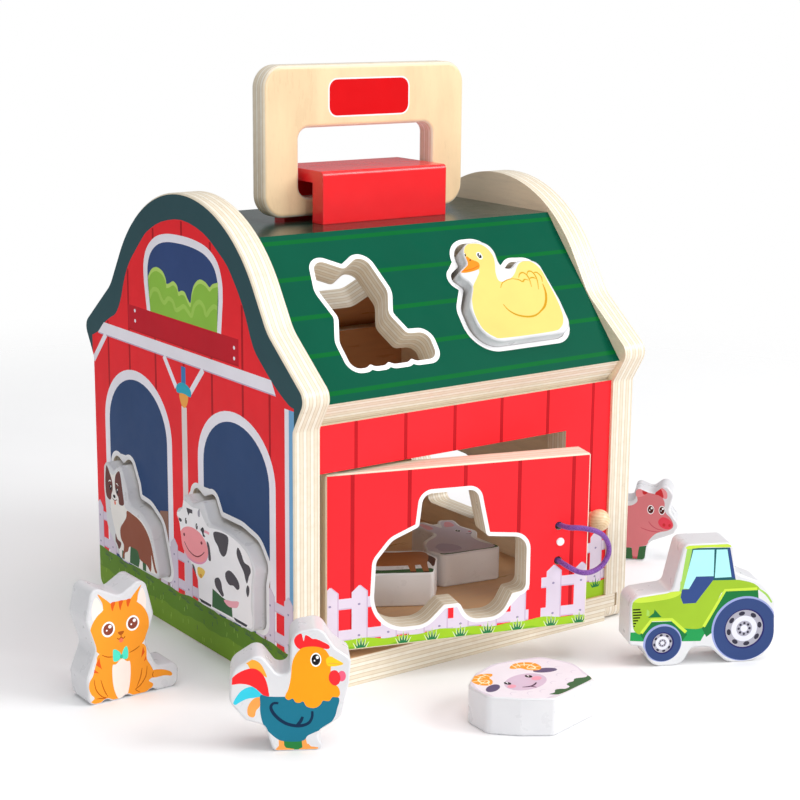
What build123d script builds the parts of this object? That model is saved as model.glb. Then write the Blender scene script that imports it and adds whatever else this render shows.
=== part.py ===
"""Wooden farm barn shape sorter: a plywood box on two gable panels, with a hinged door,
a folding carry handle and eleven chunky blocks that drop through matching holes.

Millimetres. The origin is the middle of the barn's footprint on the table,
X runs along the front, -Y is the door side and +Z is up.
"""

from build123d import *
import math
import os

os.makedirs("parts", exist_ok=True)

# Boards
board = 15.0
edge_break = 0.8
barn_width = 219.0
barn_depth = 213.0
front_recess = 1.5

# Gable outline
gable_radius = 84.0
gable_centre_height = 156.0
gable_arc_half_angle = 57.7
gable_waist = (83.4, 181.4)
gable_waist_radius = 25.0
eave_tip = (117.5, 154.5)
eave_tip_radius = 7.0
eave_foot_height = 136.5
eave_foot_radius = 4.0
foot_corner_radius = 6.0

# Roof
ridge_height = 222.0
ridge_half_width = 48.0
roof_low_reach = 111.0
roof_low_height = 149.0
roof_edge_drop = 11.8

# Base board and its tongues
tongue_height = 7.5
tongue_length = 7.0
groove_slack = 1.5

# Door opening and door
opening_right = 63.4
opening_top = 113.2
door_width = 142.5
door_left = -87.0
door_bottom = 19.3
door_top = 111.6
door_setback = 1.5
door_ajar = 16.3
pin_from_edge = 6.5
pin_diameter = 5.0
pin_clearance = 0.08
pin_in_door = 9.0
pin_in_frame = 8.0
pin_end_gap = 0.3

# Fastening on the door: ball knob, elastic loop, stud
knob_diameter = 12.0
knob_stem_diameter = 6.0
knob_stem_length = 10.0
knob_neck = 1.5
knob_x = 82.5
knob_z = 62.0
cord_diameter = 2.8
cord_hole_diameter = 4.4
cord_hole_u = 125.5
cord_hole_top = 74.2
cord_hole_bottom = 55.5
knot_diameter = 7.0
knot_length = 5.5
knot_edge = 1.2
stud_diameter = 4.3
stud_height = 0.8
stud_edge = 0.4
stud_shank = 5.0
stud_shank_diameter = 2.4
stud_u = 126.5
stud_z = 65.6

# Handle and the saddle that holds it on the ridge
handle_y = -2.0
handle_width = 130.0
handle_height = 79.3
handle_thickness = 12.5
handle_corner_radius = 12.0
handle_edge_radius = 2.5
handle_gap = 2.3
window_width = 86.0
window_top_from_bottom = 46.5
window_corner_radius = 6.0
grip_bar_height = 10.0
saddle_length = 80.0
saddle_depth = 48.0
saddle_height = 27.5
saddle_leg = 10.0
saddle_roof = 6.5
saddle_edge_radius = 2.5
screw_diameter = 3.5
screw_head_diameter = 7.0
screw_head_height = 2.2
screw_in_leg = 12.0
screw_spacing = 50.0

# Blocks and their holes
block_thickness = 19.0
hole_clearance = 1.5
block_edge = 0.7
gable_block_proud = 7.0
roof_block_proud = 6.0

# Block outlines seen from the printed face: corner points with their corner radii
outlines = {
    "dog": [
        (-32.0, 55.0, 4.0), (-21.0, 50.0, 3.5), (-12.5, 55.5, 4.0), (-5.0, 43.0, 6.0),
        (-3.0, 34.5, 5.0), (10.0, 33.5, 12.0), (22.5, 27.0, 9.0), (27.5, 14.0, 12.0),
        (32.0, 0.0, 3.0), (-14.5, 0.0, 5.0), (-30.0, 15.5, 8.0), (-33.0, 38.0, 9.0),
    ],
    "cow": [
        (-41.5, 44.5, 3.5), (-33.0, 48.5, 3.0), (-31.0, 57.0, 3.5), (-21.0, 53.0, 3.5),
        (-11.0, 57.0, 3.5), (-4.5, 46.5, 5.0), (17.0, 46.5, 14.0), (33.0, 43.0, 10.0),
        (41.0, 33.5, 5.0), (38.5, 24.0, 6.0), (38.5, 0.0, 3.5), (-16.5, 0.0, 3.5),
        (-17.5, 13.0, 6.0), (-34.0, 26.0, 8.0), (-36.5, 39.0, 4.0),
    ],
    "cat": [
        (-18.5, 61.0, 4.0), (-3.5, 53.5, 5.0), (10.0, 61.5, 4.5), (15.0, 40.0, 7.0),
        (9.5, 27.0, 8.0), (16.0, 13.0, 5.0), (28.0, 12.5, 4.0), (27.5, 0.0, 4.0),
        (16.0, 0.0, 3.0), (13.0, 2.0, 3.0), (10.0, 0.0, 3.0), (2.0, 0.0, 3.0),
        (-1.0, 2.0, 3.0), (-4.0, 0.0, 3.0), (-9.0, 0.0, 3.0), (-12.0, 2.0, 3.0),
        (-15.0, 0.0, 3.0), (-21.5, 0.0, 4.0), (-22.5, 14.0, 6.0), (-17.0, 28.0, 8.0),
        (-22.0, 44.0, 8.0),
    ],
    "duck": [
        (-19.0, 60.5, 9.0), (3.0, 60.5, 8.0), (0.5, 36.5, 5.0), (14.0, 46.5, 5.5),
        (27.5, 45.5, 6.0), (30.0, 20.0, 9.0), (29.5, 0.0, 9.0), (-30.5, 0.0, 13.0),
        (-30.0, 22.0, 9.0), (-21.5, 35.0, 4.0), (-28.5, 42.0, 3.0), (-19.0, 47.5, 3.0),
    ],
    "tractor": [
        (-12.5, 66.0, 4.0), (14.0, 66.0, 4.0), (16.0, 49.5, 4.0), (30.5, 43.5, 8.0),
        (38.5, 34.0, 5.0), (40.3, 0.0, 16.0), (14.0, 0.0, 10.0), (4.0, 9.5, 4.0),
        (-6.0, 9.5, 4.0), (-11.0, 0.0, 8.0), (-27.0, 0.0, 9.0), (-33.0, 11.5, 3.0),
        (-40.0, 12.5, 2.5), (-40.0, 38.5, 6.0), (-18.0, 41.0, 4.0),
    ],
    "rooster": [
        (-11.0, 0.0, 3.0), (-15.0, 13.0, 5.0), (-24.0, 16.0, 5.0), (-31.0, 25.0, 6.0),
        (-30.0, 40.0, 8.0), (-17.0, 48.5, 5.0), (-9.0, 37.5, 4.0), (-3.5, 38.0, 3.0),
        (-2.5, 57.5, 6.0), (11.0, 60.0, 6.0), (17.5, 50.0, 5.0), (25.0, 44.5, 4.0),
        (24.0, 33.0, 6.0), (20.5, 16.0, 8.0), (8.0, 8.0, 4.0), (14.0, 0.0, 2.5),
    ],
    "pig": [
        (-30.0, 0.0, 3.0), (-34.0, 22.0, 8.0), (-26.0, 36.0, 10.0), (7.0, 37.5, 4.0),
        (5.5, 48.0, 3.0), (17.0, 43.5, 4.0), (25.0, 50.0, 4.0), (30.0, 43.0, 4.0),
        (27.5, 33.0, 4.0), (34.0, 24.5, 4.0), (31.0, 18.5, 3.0), (15.5, 12.0, 6.0),
        (14.5, 0.0, 3.0),
    ],
    "sheep": [
        (-12.0, 0.0, 4.0), (-23.0, 12.0, 6.0), (-31.5, 25.0, 6.0), (-27.0, 41.0, 7.0),
        (-12.0, 48.5, 8.0), (2.0, 50.0, 6.0), (13.0, 45.5, 8.0), (27.5, 38.0, 7.0),
        (31.5, 21.0, 8.0), (25.0, 8.0, 5.0), (20.0, 0.0, 3.5),
    ],
    "horse": [
        (-30.0, 40.0, 3.0), (-28.0, 50.0, 4.0), (-16.0, 62.0, 3.0), (-7.0, 56.0, 4.0),
        (1.0, 40.0, 9.0), (26.0, 40.0, 8.0), (33.0, 27.0, 4.0), (28.0, 0.0, 3.0),
        (-15.0, 0.0, 3.0), (-18.0, 24.0, 6.0), (-21.0, 37.0, 4.0),
    ],
    "rabbit": [
        (-20.0, 0.0, 4.0), (-24.0, 11.0, 4.0), (-19.0, 27.0, 8.0), (-6.0, 38.0, 5.0),
        (-10.0, 61.0, 3.5), (0.0, 62.0, 3.5), (3.5, 49.0, 2.5), (8.0, 61.0, 3.5),
        (18.0, 58.0, 3.5), (16.0, 45.0, 4.0), (20.0, 33.0, 5.0), (14.0, 22.0, 5.0),
        (18.0, 0.0, 3.0),
    ],
    "goose": [
        (-28.0, 49.0, 3.0), (-18.0, 60.0, 6.0), (-8.0, 56.0, 5.0), (-6.0, 33.0, 6.0),
        (10.0, 34.0, 8.0), (30.0, 43.0, 3.5), (27.0, 15.0, 9.0), (14.0, 0.0, 5.0),
        (-12.0, 0.0, 6.0), (-24.0, 14.0, 8.0), (-18.0, 36.0, 6.0), (-19.0, 46.0, 3.0),
    ],
}

# Derived places
wall_top = roof_low_height - roof_edge_drop
half_width = barn_width / 2
half_depth = barn_depth / 2
inner_half = half_width - board
front_face = -half_depth + front_recess
slope_run = roof_low_reach - ridge_half_width
slope_rise = ridge_height - roof_low_height
slope_length = math.hypot(slope_run, slope_rise)
slope_angle = math.degrees(math.atan2(slope_rise, slope_run))

# Planes seen from outside: x to the viewer's right, y up the surface
left_gable = Plane((-half_width, 0, 0), x_dir=(0, -1, 0), z_dir=(-1, 0, 0))
right_gable = Plane((half_width, 0, 0), x_dir=(0, 1, 0), z_dir=(1, 0, 0))
back_wall = Plane((0, half_depth - front_recess, 0), x_dir=(-1, 0, 0), z_dir=(0, 1, 0))
front_wall = Plane((0, front_face, 0), x_dir=(1, 0, 0), z_dir=(0, -1, 0))
front_slope = Plane(
    (0, -roof_low_reach, roof_low_height),
    x_dir=(1, 0, 0),
    z_dir=(0, -slope_rise, slope_run),
)
back_slope = Plane(
    (0, roof_low_reach, roof_low_height),
    x_dir=(-1, 0, 0),
    z_dir=(0, slope_rise, slope_run),
)

# Where each hole sits on its surface: middle of the block's foot
dog_at = (-51.0, 29.5)
cow_at = (40.5, 29.5)
pig_at = (44.0, 30.0)
sheep_at = (-42.0, 30.0)
cat_at = (-48.0, 18.3)
duck_at = (38.75, 19.5)
rooster_at = (44.0, 17.5)
goose_at = (-44.0, 17.5)
horse_at = (-44.0, 42.0)
rabbit_at = (46.0, 42.0)
tractor_at = (66.3, 30.2)

# A posted block rests on the low side of its hole, a hair above the wood
seat_gap = 0.2
seat_drop = hole_clearance - seat_gap
dog_seat = (dog_at[0], dog_at[1] - seat_drop)
cow_seat = (cow_at[0], cow_at[1] - seat_drop)
duck_seat = (duck_at[0], duck_at[1] - seat_drop)

# The door's own frame: u from its left edge, v up, w outward from its front face
door_pin_y = front_face - front_recess + door_setback + board / 2
door_pin_x = door_left + pin_from_edge
door_swing = math.radians(door_ajar)
door_u = Vector(math.cos(door_swing), -math.sin(door_swing), 0)
door_w = Vector(-math.sin(door_swing), -math.cos(door_swing), 0)
door_corner = (
    Vector(door_pin_x, door_pin_y, 0) - door_u * pin_from_edge + door_w * (board / 2)
)
door_front = Plane(door_corner, x_dir=door_u, z_dir=door_w)


def standing(x, y, turn):
    """Plane of a printed face that stands on the table, turned about the vertical."""
    angle = math.radians(turn)
    across = (math.cos(angle), math.sin(angle), 0)
    outward = (math.sin(angle), -math.cos(angle), 0)
    return Plane((x, y, 0), x_dir=across, z_dir=outward)


def lying(x, y, height, turn):
    """Plane of a printed face that lies upward, its underside at the given height."""
    angle = math.radians(turn)
    across = (math.cos(angle), math.sin(angle), 0)
    return Plane((x, y, height + block_thickness), x_dir=across, z_dir=(0, 0, 1))


def on_surface(plane, place, proud):
    """Plane of a printed face that stands proud of the hole in a surface."""
    lifted = plane.offset(proud)
    return Plane(
        lifted.from_local_coords((place[0], place[1], 0)),
        x_dir=lifted.x_dir,
        z_dir=lifted.z_dir,
    )


block_places = {
    "dog": on_surface(left_gable, dog_seat, gable_block_proud),
    "cow": on_surface(left_gable, cow_seat, gable_block_proud),
    "duck": on_surface(front_slope, duck_seat, roof_block_proud),
    "cat": standing(-half_width - 65.0, -56.0, 0.0),
    "rooster": standing(-half_width - 30.5, -half_depth - 50.5, -30.0),
    "tractor": standing(92.6, -half_depth - 77.9, -26.0),
    "pig": standing(half_width + 67.1, -30.5, -47.0),
    "sheep": lying(-19.4, -half_depth - 102.4, 0.0, 13.5),
    "horse": lying(-19.3, -53.1, board, -30.0),
    "rabbit": lying(46.5, -49.0, board, -9.0),
    "goose": lying(2.0, 22.0, board, 6.0),
}


def block_face(name, grow=0.0, flip=False):
    """The block's outline as a flat face, grown by a clearance for its hole."""
    side = -1 if flip else 1
    corners = [(side * across, up) for across, up, radius in outlines[name]]
    radii = [radius for across, up, radius in outlines[name]]
    with BuildSketch() as face:
        with BuildLine() as rim:
            FilletPolyline(*corners, radius=radii, close=True)
        make_face()
        if grow:
            offset(amount=grow)
    return face.sketch


def gable_face():
    """One gable panel seen from outside: walls, eave tips, waists and the round top."""
    angle = math.radians(gable_arc_half_angle)
    arc_end = (
        gable_radius * math.sin(angle),
        gable_centre_height + gable_radius * math.cos(angle),
    )
    with BuildSketch() as face:
        with BuildLine():
            foot = Line((0, 0), (half_depth, 0))
            Line(foot @ 1, (half_depth, eave_foot_height))
            Line((half_depth, eave_foot_height), eave_tip)
            Line(eave_tip, gable_waist)
            Line(gable_waist, arc_end)
            RadiusArc(arc_end, (0, gable_centre_height + gable_radius), -gable_radius)
            Line((0, gable_centre_height + gable_radius), (0, 0))
        make_face()
        corner = face.vertices()
        fillet(corner.sort_by_distance((half_depth, 0, 0))[0], foot_corner_radius)
        for spot, radius in (
            ((half_depth, eave_foot_height), eave_foot_radius),
            (eave_tip, eave_tip_radius),
            (gable_waist, gable_waist_radius),
        ):
            fillet(face.vertices().sort_by_distance((*spot, 0))[0], radius)
        mirror(about=Plane.YZ)
    return face.sketch


def groove_face():
    """Section of the base board's groove in a gable panel, open at the front."""
    with BuildSketch() as face:
        with Locations((0, board - tongue_height / 2)):
            Rectangle(barn_depth, tongue_height)
    return face.sketch


gable_outline = gable_face()


# Gable panels
with BuildPart() as left_side_panel:
    with BuildSketch(left_gable):
        add(gable_outline)
    extrude(amount=-board)
    chamfer(left_side_panel.faces().sort_by(Axis.X)[0].edges(), edge_break)
    with BuildSketch(left_gable):
        with Locations(dog_at):
            add(block_face("dog", hole_clearance))
        with Locations(cow_at):
            add(block_face("cow", hole_clearance))
    extrude(amount=-board, mode=Mode.SUBTRACT)
    with BuildSketch(left_gable.offset(-board)):
        add(groove_face())
    extrude(amount=tongue_length + groove_slack, mode=Mode.SUBTRACT)
left_side_panel.part.label = "left_side_panel"
export_step(left_side_panel.part, "parts/left_side_panel.step")

with BuildPart() as right_side_panel:
    with BuildSketch(right_gable):
        add(gable_outline)
    extrude(amount=-board)
    chamfer(right_side_panel.faces().sort_by(Axis.X)[-1].edges(), edge_break)
    with BuildSketch(right_gable):
        with Locations(pig_at):
            add(block_face("pig", hole_clearance))
        with Locations(sheep_at):
            add(block_face("sheep", hole_clearance))
    extrude(amount=-board, mode=Mode.SUBTRACT)
    with BuildSketch(right_gable.offset(-board)):
        add(groove_face())
    extrude(amount=tongue_length + groove_slack, mode=Mode.SUBTRACT)
right_side_panel.part.label = "right_side_panel"
export_step(right_side_panel.part, "parts/right_side_panel.step")


# Base board, with a tongue along each end
frame_pin_hole = pin_diameter + 2 * pin_clearance
with BuildPart() as base_board:
    with BuildSketch(Plane.XY):
        Rectangle(2 * inner_half, barn_depth)
    extrude(amount=board)
    with BuildSketch(Plane.XY.offset(board - tongue_height)):
        Rectangle(2 * (inner_half + tongue_length), barn_depth)
    extrude(amount=tongue_height)
    with BuildSketch(Plane.XY.offset(board)):
        with Locations((door_pin_x, door_pin_y)):
            Circle(frame_pin_hole / 2)
    extrude(amount=-pin_in_frame, mode=Mode.SUBTRACT)
base_board.part.label = "base_board"
export_step(base_board.part, "parts/base_board.step")


# Front panel: a lintel over the door and one jamb, cut from one board
with BuildPart() as front_panel:
    with BuildSketch(front_wall):
        with Locations((0, (board + wall_top) / 2)):
            Rectangle(2 * inner_half, wall_top - board)
        with Locations(((opening_right - inner_half) / 2, (board + opening_top) / 2)):
            Rectangle(
                opening_right + inner_half,
                opening_top - board,
                mode=Mode.SUBTRACT,
            )
        with Locations((knob_x, knob_z)):
            Circle(knob_stem_diameter / 2, mode=Mode.SUBTRACT)
    extrude(amount=-board)
    with BuildSketch(Plane.XY.offset(opening_top)):
        with Locations((door_pin_x, door_pin_y)):
            Circle(frame_pin_hole / 2)
    extrude(amount=pin_in_frame, mode=Mode.SUBTRACT)
front_panel.part.label = "front_panel"
export_step(front_panel.part, "parts/front_panel.step")


# Back panel
with BuildPart() as back_panel:
    with BuildSketch(back_wall):
        with Locations((0, (board + wall_top) / 2)):
            Rectangle(2 * inner_half, wall_top - board)
        with Locations(horse_at):
            add(block_face("horse", hole_clearance), mode=Mode.SUBTRACT)
        with Locations(rabbit_at):
            add(block_face("rabbit", hole_clearance), mode=Mode.SUBTRACT)
    extrude(amount=-board)
back_panel.part.label = "back_panel"
export_step(back_panel.part, "parts/back_panel.step")


# Roof: a flat ridge board between two slopes, mitred where they meet
mitre_inset = board * math.tan(math.radians(slope_angle / 2))
inner_ridge = ridge_half_width - mitre_inset
inner_low_reach = roof_low_reach - board * math.sin(math.radians(slope_angle))
inner_low_height = roof_low_height - board * math.cos(math.radians(slope_angle))
rest_reach = inner_low_reach + (inner_low_height - wall_top) * slope_run / slope_rise


def slope_board(side):
    """Section of one roof slope; its lower end is cut to rest on the wall's top."""
    with BuildSketch() as face:
        with BuildLine():
            Polyline(
                (side * ridge_half_width, ridge_height),
                (side * roof_low_reach, roof_low_height),
                (side * rest_reach, wall_top),
                (side * inner_ridge, ridge_height - board),
                close=True,
            )
        make_face()
    return face.sketch


roof_section = Plane((-inner_half, 0, 0), x_dir=(0, 1, 0), z_dir=(1, 0, 0))

with BuildPart() as roof_front:
    with BuildSketch(roof_section):
        add(slope_board(-1))
    extrude(amount=2 * inner_half)
    with BuildSketch(front_slope):
        with Locations(cat_at):
            add(block_face("cat", hole_clearance))
        with Locations(duck_at):
            add(block_face("duck", hole_clearance))
    extrude(amount=-2 * board, mode=Mode.SUBTRACT)
roof_front.part.label = "roof_front"
export_step(roof_front.part, "parts/roof_front.step")

with BuildPart() as roof_back:
    with BuildSketch(roof_section):
        add(slope_board(1))
    extrude(amount=2 * inner_half)
    with BuildSketch(back_slope):
        with Locations(rooster_at):
            add(block_face("rooster", hole_clearance))
        with Locations(goose_at):
            add(block_face("goose", hole_clearance))
    extrude(amount=-2 * board, mode=Mode.SUBTRACT)
roof_back.part.label = "roof_back"
export_step(roof_back.part, "parts/roof_back.step")


# Ridge board, drilled from below for the saddle's screws
leg_middle = saddle_depth / 2 - saddle_leg / 2
screw_spots = [
    (side * screw_spacing / 2, handle_y + leg * leg_middle)
    for side in (-1, 1)
    for leg in (-1, 1)
]
with BuildPart() as ridge_board:
    with BuildSketch(roof_section):
        with BuildLine():
            Polyline(
                (-ridge_half_width, ridge_height),
                (ridge_half_width, ridge_height),
                (inner_ridge, ridge_height - board),
                (-inner_ridge, ridge_height - board),
                close=True,
            )
        make_face()
    extrude(amount=2 * inner_half)
    with BuildSketch(Plane.XY.offset(ridge_height)):
        with Locations(*screw_spots):
            Circle(screw_diameter / 2)
    extrude(amount=-board, mode=Mode.SUBTRACT)
    with BuildSketch(Plane.XY.offset(ridge_height - board)):
        with Locations(*screw_spots):
            Circle(screw_head_diameter / 2)
    extrude(amount=screw_head_height, mode=Mode.SUBTRACT)
ridge_board.part.label = "ridge_board"
export_step(ridge_board.part, "parts/ridge_board.step")


# Saddle: an upturned channel screwed to the ridge over the handle's bottom bar
with BuildPart() as handle_saddle:
    with BuildSketch(Plane.XY.offset(ridge_height)):
        with Locations((0, handle_y)):
            Rectangle(saddle_length, saddle_depth)
    extrude(amount=saddle_height)
    top_edges = handle_saddle.faces().sort_by(Axis.Z)[-1].edges()
    fillet(top_edges.filter_by(Axis.X), saddle_edge_radius)
    with BuildSketch(Plane.XY.offset(ridge_height)):
        with Locations((0, handle_y)):
            Rectangle(saddle_length, saddle_depth - 2 * saddle_leg)
    extrude(amount=saddle_height - saddle_roof, mode=Mode.SUBTRACT)
    with BuildSketch(Plane.XY.offset(ridge_height)):
        with Locations(*screw_spots):
            Circle(screw_diameter / 2)
    extrude(amount=screw_in_leg, mode=Mode.SUBTRACT)
handle_saddle.part.label = "handle_saddle"
export_step(handle_saddle.part, "parts/handle_saddle.step")

with BuildPart() as saddle_screws:
    with BuildSketch(Plane.XY.offset(ridge_height - board)):
        with Locations(*screw_spots):
            Circle(screw_head_diameter / 2)
    extrude(amount=screw_head_height)
    with BuildSketch(Plane.XY.offset(ridge_height - board)):
        with Locations(*screw_spots):
            Circle(screw_diameter / 2)
    extrude(amount=board + screw_in_leg)
saddle_screws.part.label = "saddle_screws"
export_step(saddle_screws.part, "parts/saddle_screws.step")


# Handle: a rounded plate with a finger window, its bottom bar under the saddle
handle_bottom = ridge_height + handle_gap
handle_back = Plane(
    (0, handle_y + handle_thickness / 2, handle_bottom), x_dir=(1, 0, 0), z_dir=(0, -1, 0)
)
with BuildPart() as handle:
    with BuildSketch(handle_back):
        with Locations((0, handle_height / 2)):
            RectangleRounded(handle_width, handle_height, handle_corner_radius)
        window_height = window_top_from_bottom - grip_bar_height
        with Locations((0, grip_bar_height + window_height / 2)):
            RectangleRounded(
                window_width, window_height, window_corner_radius, mode=Mode.SUBTRACT
            )
    extrude(amount=handle_thickness)
    flat_faces = handle.faces().filter_by(Axis.Y)
    fillet(flat_faces.edges(), handle_edge_radius)
handle.part.label = "handle"
export_step(handle.part, "parts/handle.step")


# Door, hung ajar on two pins
door_height = door_top - door_bottom
with BuildPart() as door:
    with BuildSketch(door_front):
        with Locations((door_width / 2, door_bottom + door_height / 2)):
            Rectangle(door_width, door_height)
    extrude(amount=-board)
    chamfer(door.edges(), edge_break)
    with BuildSketch(door_front):
        with Locations(tractor_at):
            add(block_face("tractor", hole_clearance, flip=True))
        with Locations((cord_hole_u, cord_hole_top), (cord_hole_u, cord_hole_bottom)):
            Circle(cord_hole_diameter / 2)
    extrude(amount=-board, mode=Mode.SUBTRACT)
    with BuildSketch(door_front):
        with Locations((stud_u, stud_z)):
            Circle(stud_shank_diameter / 2)
    extrude(amount=-stud_shank, mode=Mode.SUBTRACT)
    with BuildSketch(Plane.XY.offset(door_top)):
        with Locations((door_pin_x, door_pin_y)):
            Circle(pin_diameter / 2)
    extrude(amount=-pin_in_door, mode=Mode.SUBTRACT)
    with BuildSketch(Plane.XY.offset(door_bottom)):
        with Locations((door_pin_x, door_pin_y)):
            Circle(pin_diameter / 2)
    extrude(amount=pin_in_door, mode=Mode.SUBTRACT)
door.part.label = "door"
export_step(door.part, "parts/door.step")

with BuildPart() as door_pins:
    with BuildSketch(Plane.XY.offset(door_top - pin_in_door)):
        with Locations((door_pin_x, door_pin_y)):
            Circle(pin_diameter / 2)
    extrude(amount=opening_top + pin_in_frame - pin_end_gap - door_top + pin_in_door)
    with BuildSketch(Plane.XY.offset(door_bottom + pin_in_door)):
        with Locations((door_pin_x, door_pin_y)):
            Circle(pin_diameter / 2)
    extrude(amount=-(door_bottom + pin_in_door - board + pin_in_frame - pin_end_gap))
door_pins.part.label = "door_pins"
export_step(door_pins.part, "parts/door_pins.step")

with BuildPart() as door_stud:
    with BuildSketch(door_front):
        with Locations((stud_u, stud_z)):
            Circle(stud_diameter / 2)
    extrude(amount=stud_height)
    chamfer(door_stud.faces().sort_by(Axis.Y)[0].edges(), stud_edge)
    with BuildSketch(door_front):
        with Locations((stud_u, stud_z)):
            Circle(stud_shank_diameter / 2)
    extrude(amount=-stud_shank)
door_stud.part.label = "door_stud"
export_step(door_stud.part, "parts/door_stud.step")


# Ball knob, glued into the jamb
knob_radius = knob_diameter / 2
with BuildPart() as door_knob:
    with BuildSketch(Plane.XY) as knob_half:
        with BuildLine():
            Polyline(
                (0, -knob_stem_length),
                (knob_stem_diameter / 2, -knob_stem_length),
                (knob_stem_diameter / 2, 2 * knob_neck),
                (0, 2 * knob_neck),
                close=True,
            )
        make_face()
        with Locations((0, knob_neck + knob_radius)):
            Circle(knob_radius)
        with Locations((-knob_radius, knob_neck + knob_radius)):
            Rectangle(2 * knob_radius, 2 * knob_radius, mode=Mode.SUBTRACT)
    revolve(axis=Axis.Y)
knob_axis = Plane((knob_x, front_face, knob_z), x_dir=(1, 0, 0), z_dir=(0, 0, 1))
door_knob.part = knob_axis.location * Rot(0, 0, 180) * door_knob.part
door_knob.part.label = "door_knob"
export_step(door_knob.part, "parts/door_knob.step")


# Elastic loop through the door's two holes, knotted behind
loop_route = [
    (cord_hole_u, cord_hole_top, -board),
    (cord_hole_u, cord_hole_top, 4.0),
    (134.5, 75.5, 10.5),
    (146.0, 71.5, 11.0),
    (151.0, 61.0, 9.5),
    (146.0, 52.0, 9.0),
    (135.0, 50.0, 10.5),
    (cord_hole_u, cord_hole_bottom, 4.0),
    (cord_hole_u, cord_hole_bottom, -board),
]


def tangent_radii(route):
    """Arc radius at each inner point: 0.45 of the shorter run over tan(half turn)."""
    radii = []
    for before, here, after in zip(route, route[1:], route[2:]):
        turn = (here - before).get_angle(after - here)
        run = min((here - before).length, (after - here).length)
        radii.append(0.45 * run / math.tan(math.radians(turn / 2)))
    return radii


loop_points = [door_front.from_local_coords(point) for point in loop_route]
loop_radii = tangent_radii(loop_points)
with BuildPart() as elastic_loop:
    with BuildLine() as loop_line:
        FilletPolyline(*loop_points, radius=loop_radii)
    loop_wire = loop_line.wire()
    loop_start = Plane(loop_wire @ 0, z_dir=loop_wire % 0)
    with BuildSketch(loop_start):
        Circle(cord_diameter / 2)
    sweep()
elastic_loop.part.label = "elastic_loop"
export_step(elastic_loop.part, "parts/elastic_loop.step")
loop_length = loop_wire.length
cord_section = math.pi * cord_diameter**2 / 4
loop_fill = elastic_loop.part.volume / (cord_section * loop_length)
print("loop radii", [round(radius, 1) for radius in loop_radii])
print("loop length", round(loop_length, 1), "volume over section x length", loop_fill)

with BuildPart() as elastic_knots:
    with BuildSketch(door_front.offset(-board)):
        with Locations((cord_hole_u, cord_hole_top), (cord_hole_u, cord_hole_bottom)):
            Circle(knot_diameter / 2)
    extrude(amount=-knot_length)
    chamfer(elastic_knots.edges(), knot_edge)
elastic_knots.part.label = "elastic_knots"
export_step(elastic_knots.part, "parts/elastic_knots.step")


# Blocks
for name, place in block_places.items():
    with BuildPart() as block:
        with BuildSketch(place):
            add(block_face(name))
        extrude(amount=-block_thickness)
        flats = block.faces().filter_by(Axis((0, 0, 0), place.z_dir))
        chamfer(flats.edges(), block_edge)
    block.part.label = name + "_block"
    export_step(block.part, "parts/" + name + "_block.step")
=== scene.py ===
import math
import random

import bmesh
import bpy
import numpy as np
from mathutils import Matrix, Vector
from mathutils.geometry import delaunay_2d_cdt


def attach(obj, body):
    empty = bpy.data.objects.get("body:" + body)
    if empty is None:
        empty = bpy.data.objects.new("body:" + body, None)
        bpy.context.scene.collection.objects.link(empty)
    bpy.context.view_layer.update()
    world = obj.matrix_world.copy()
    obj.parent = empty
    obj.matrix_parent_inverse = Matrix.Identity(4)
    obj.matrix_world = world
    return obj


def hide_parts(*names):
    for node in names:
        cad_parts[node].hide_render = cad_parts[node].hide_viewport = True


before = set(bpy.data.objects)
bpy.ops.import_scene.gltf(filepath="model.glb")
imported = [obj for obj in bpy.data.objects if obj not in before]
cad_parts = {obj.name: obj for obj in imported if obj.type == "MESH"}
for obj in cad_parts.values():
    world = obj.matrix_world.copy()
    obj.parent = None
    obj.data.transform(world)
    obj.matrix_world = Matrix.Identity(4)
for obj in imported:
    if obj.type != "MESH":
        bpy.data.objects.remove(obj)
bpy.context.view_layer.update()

scene = bpy.context.scene
MM = 0.001

# Places in millimetres, as in the CAD model.
board = 15.0
half_width = 109.5
front_face = -105.0
ridge_height = 222.0
eave_out, eave_up = 111, 149
slope_run, slope_rise = 63, 73
block_thickness = 19.0
seat_drop = 1.3
door_open = 16.3
door_pin = (-80.5, -97.5, 0)
pin_from_edge = 6.5
handle_foot, handle_thickness = 224.3, 16.5
knob_across, knob_up = 79.5, 58.0
sill = 29.5

# Tolerances of the CAD meshes and the rounding of painted and sawn edges, in metres.
weld = 0.0000015
same_plane = 0.00003
soft_edge, sharp_edge = 0.0009, 0.0006
same_way = 0.9998
smooth_below = math.radians(28)
# How near a corner of the print is to the face's border, in millimetres, and to an edge's end.
on_border, at_end = 2e-4, 1e-6
# The seams between a board's plies, as shares of its thickness.
ply_seams = (0.12, 0.25, 0.385, 0.52, 0.655, 0.79, 0.92)


def new_piece(name, data):
    piece = bpy.data.objects.new(name, data)
    scene.collection.objects.link(piece)
    return piece


def add_camera(place, azimuth, elevation, roll, lens):
    """The camera of the photograph. Its angles are in degrees, round the object's upright axis."""
    azimuth, elevation, roll = math.radians(azimuth), math.radians(elevation), math.radians(roll)
    flat = math.cos(elevation)
    back = Vector((math.sin(azimuth) * flat, -math.cos(azimuth) * flat, math.sin(elevation)))
    level = (-back).cross(Vector((0, 0, 1))).normalized()
    above = level.cross(-back)
    right = level * math.cos(roll) + above * math.sin(roll)
    up = above * math.cos(roll) - level * math.sin(roll)
    camera = new_piece("camera", bpy.data.cameras.new("camera"))
    camera.matrix_world = Matrix((*zip(right, up, back, place), (0, 0, 0, 1)))
    camera.data.sensor_width = 36
    camera.data.lens = lens
    camera.data.clip_end = 20
    scene.camera = camera


add_camera((-0.5571485, -0.8177862, 0.3502688), -35.6412827, 13.2180303, 0.524549633, 81.72)


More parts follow.
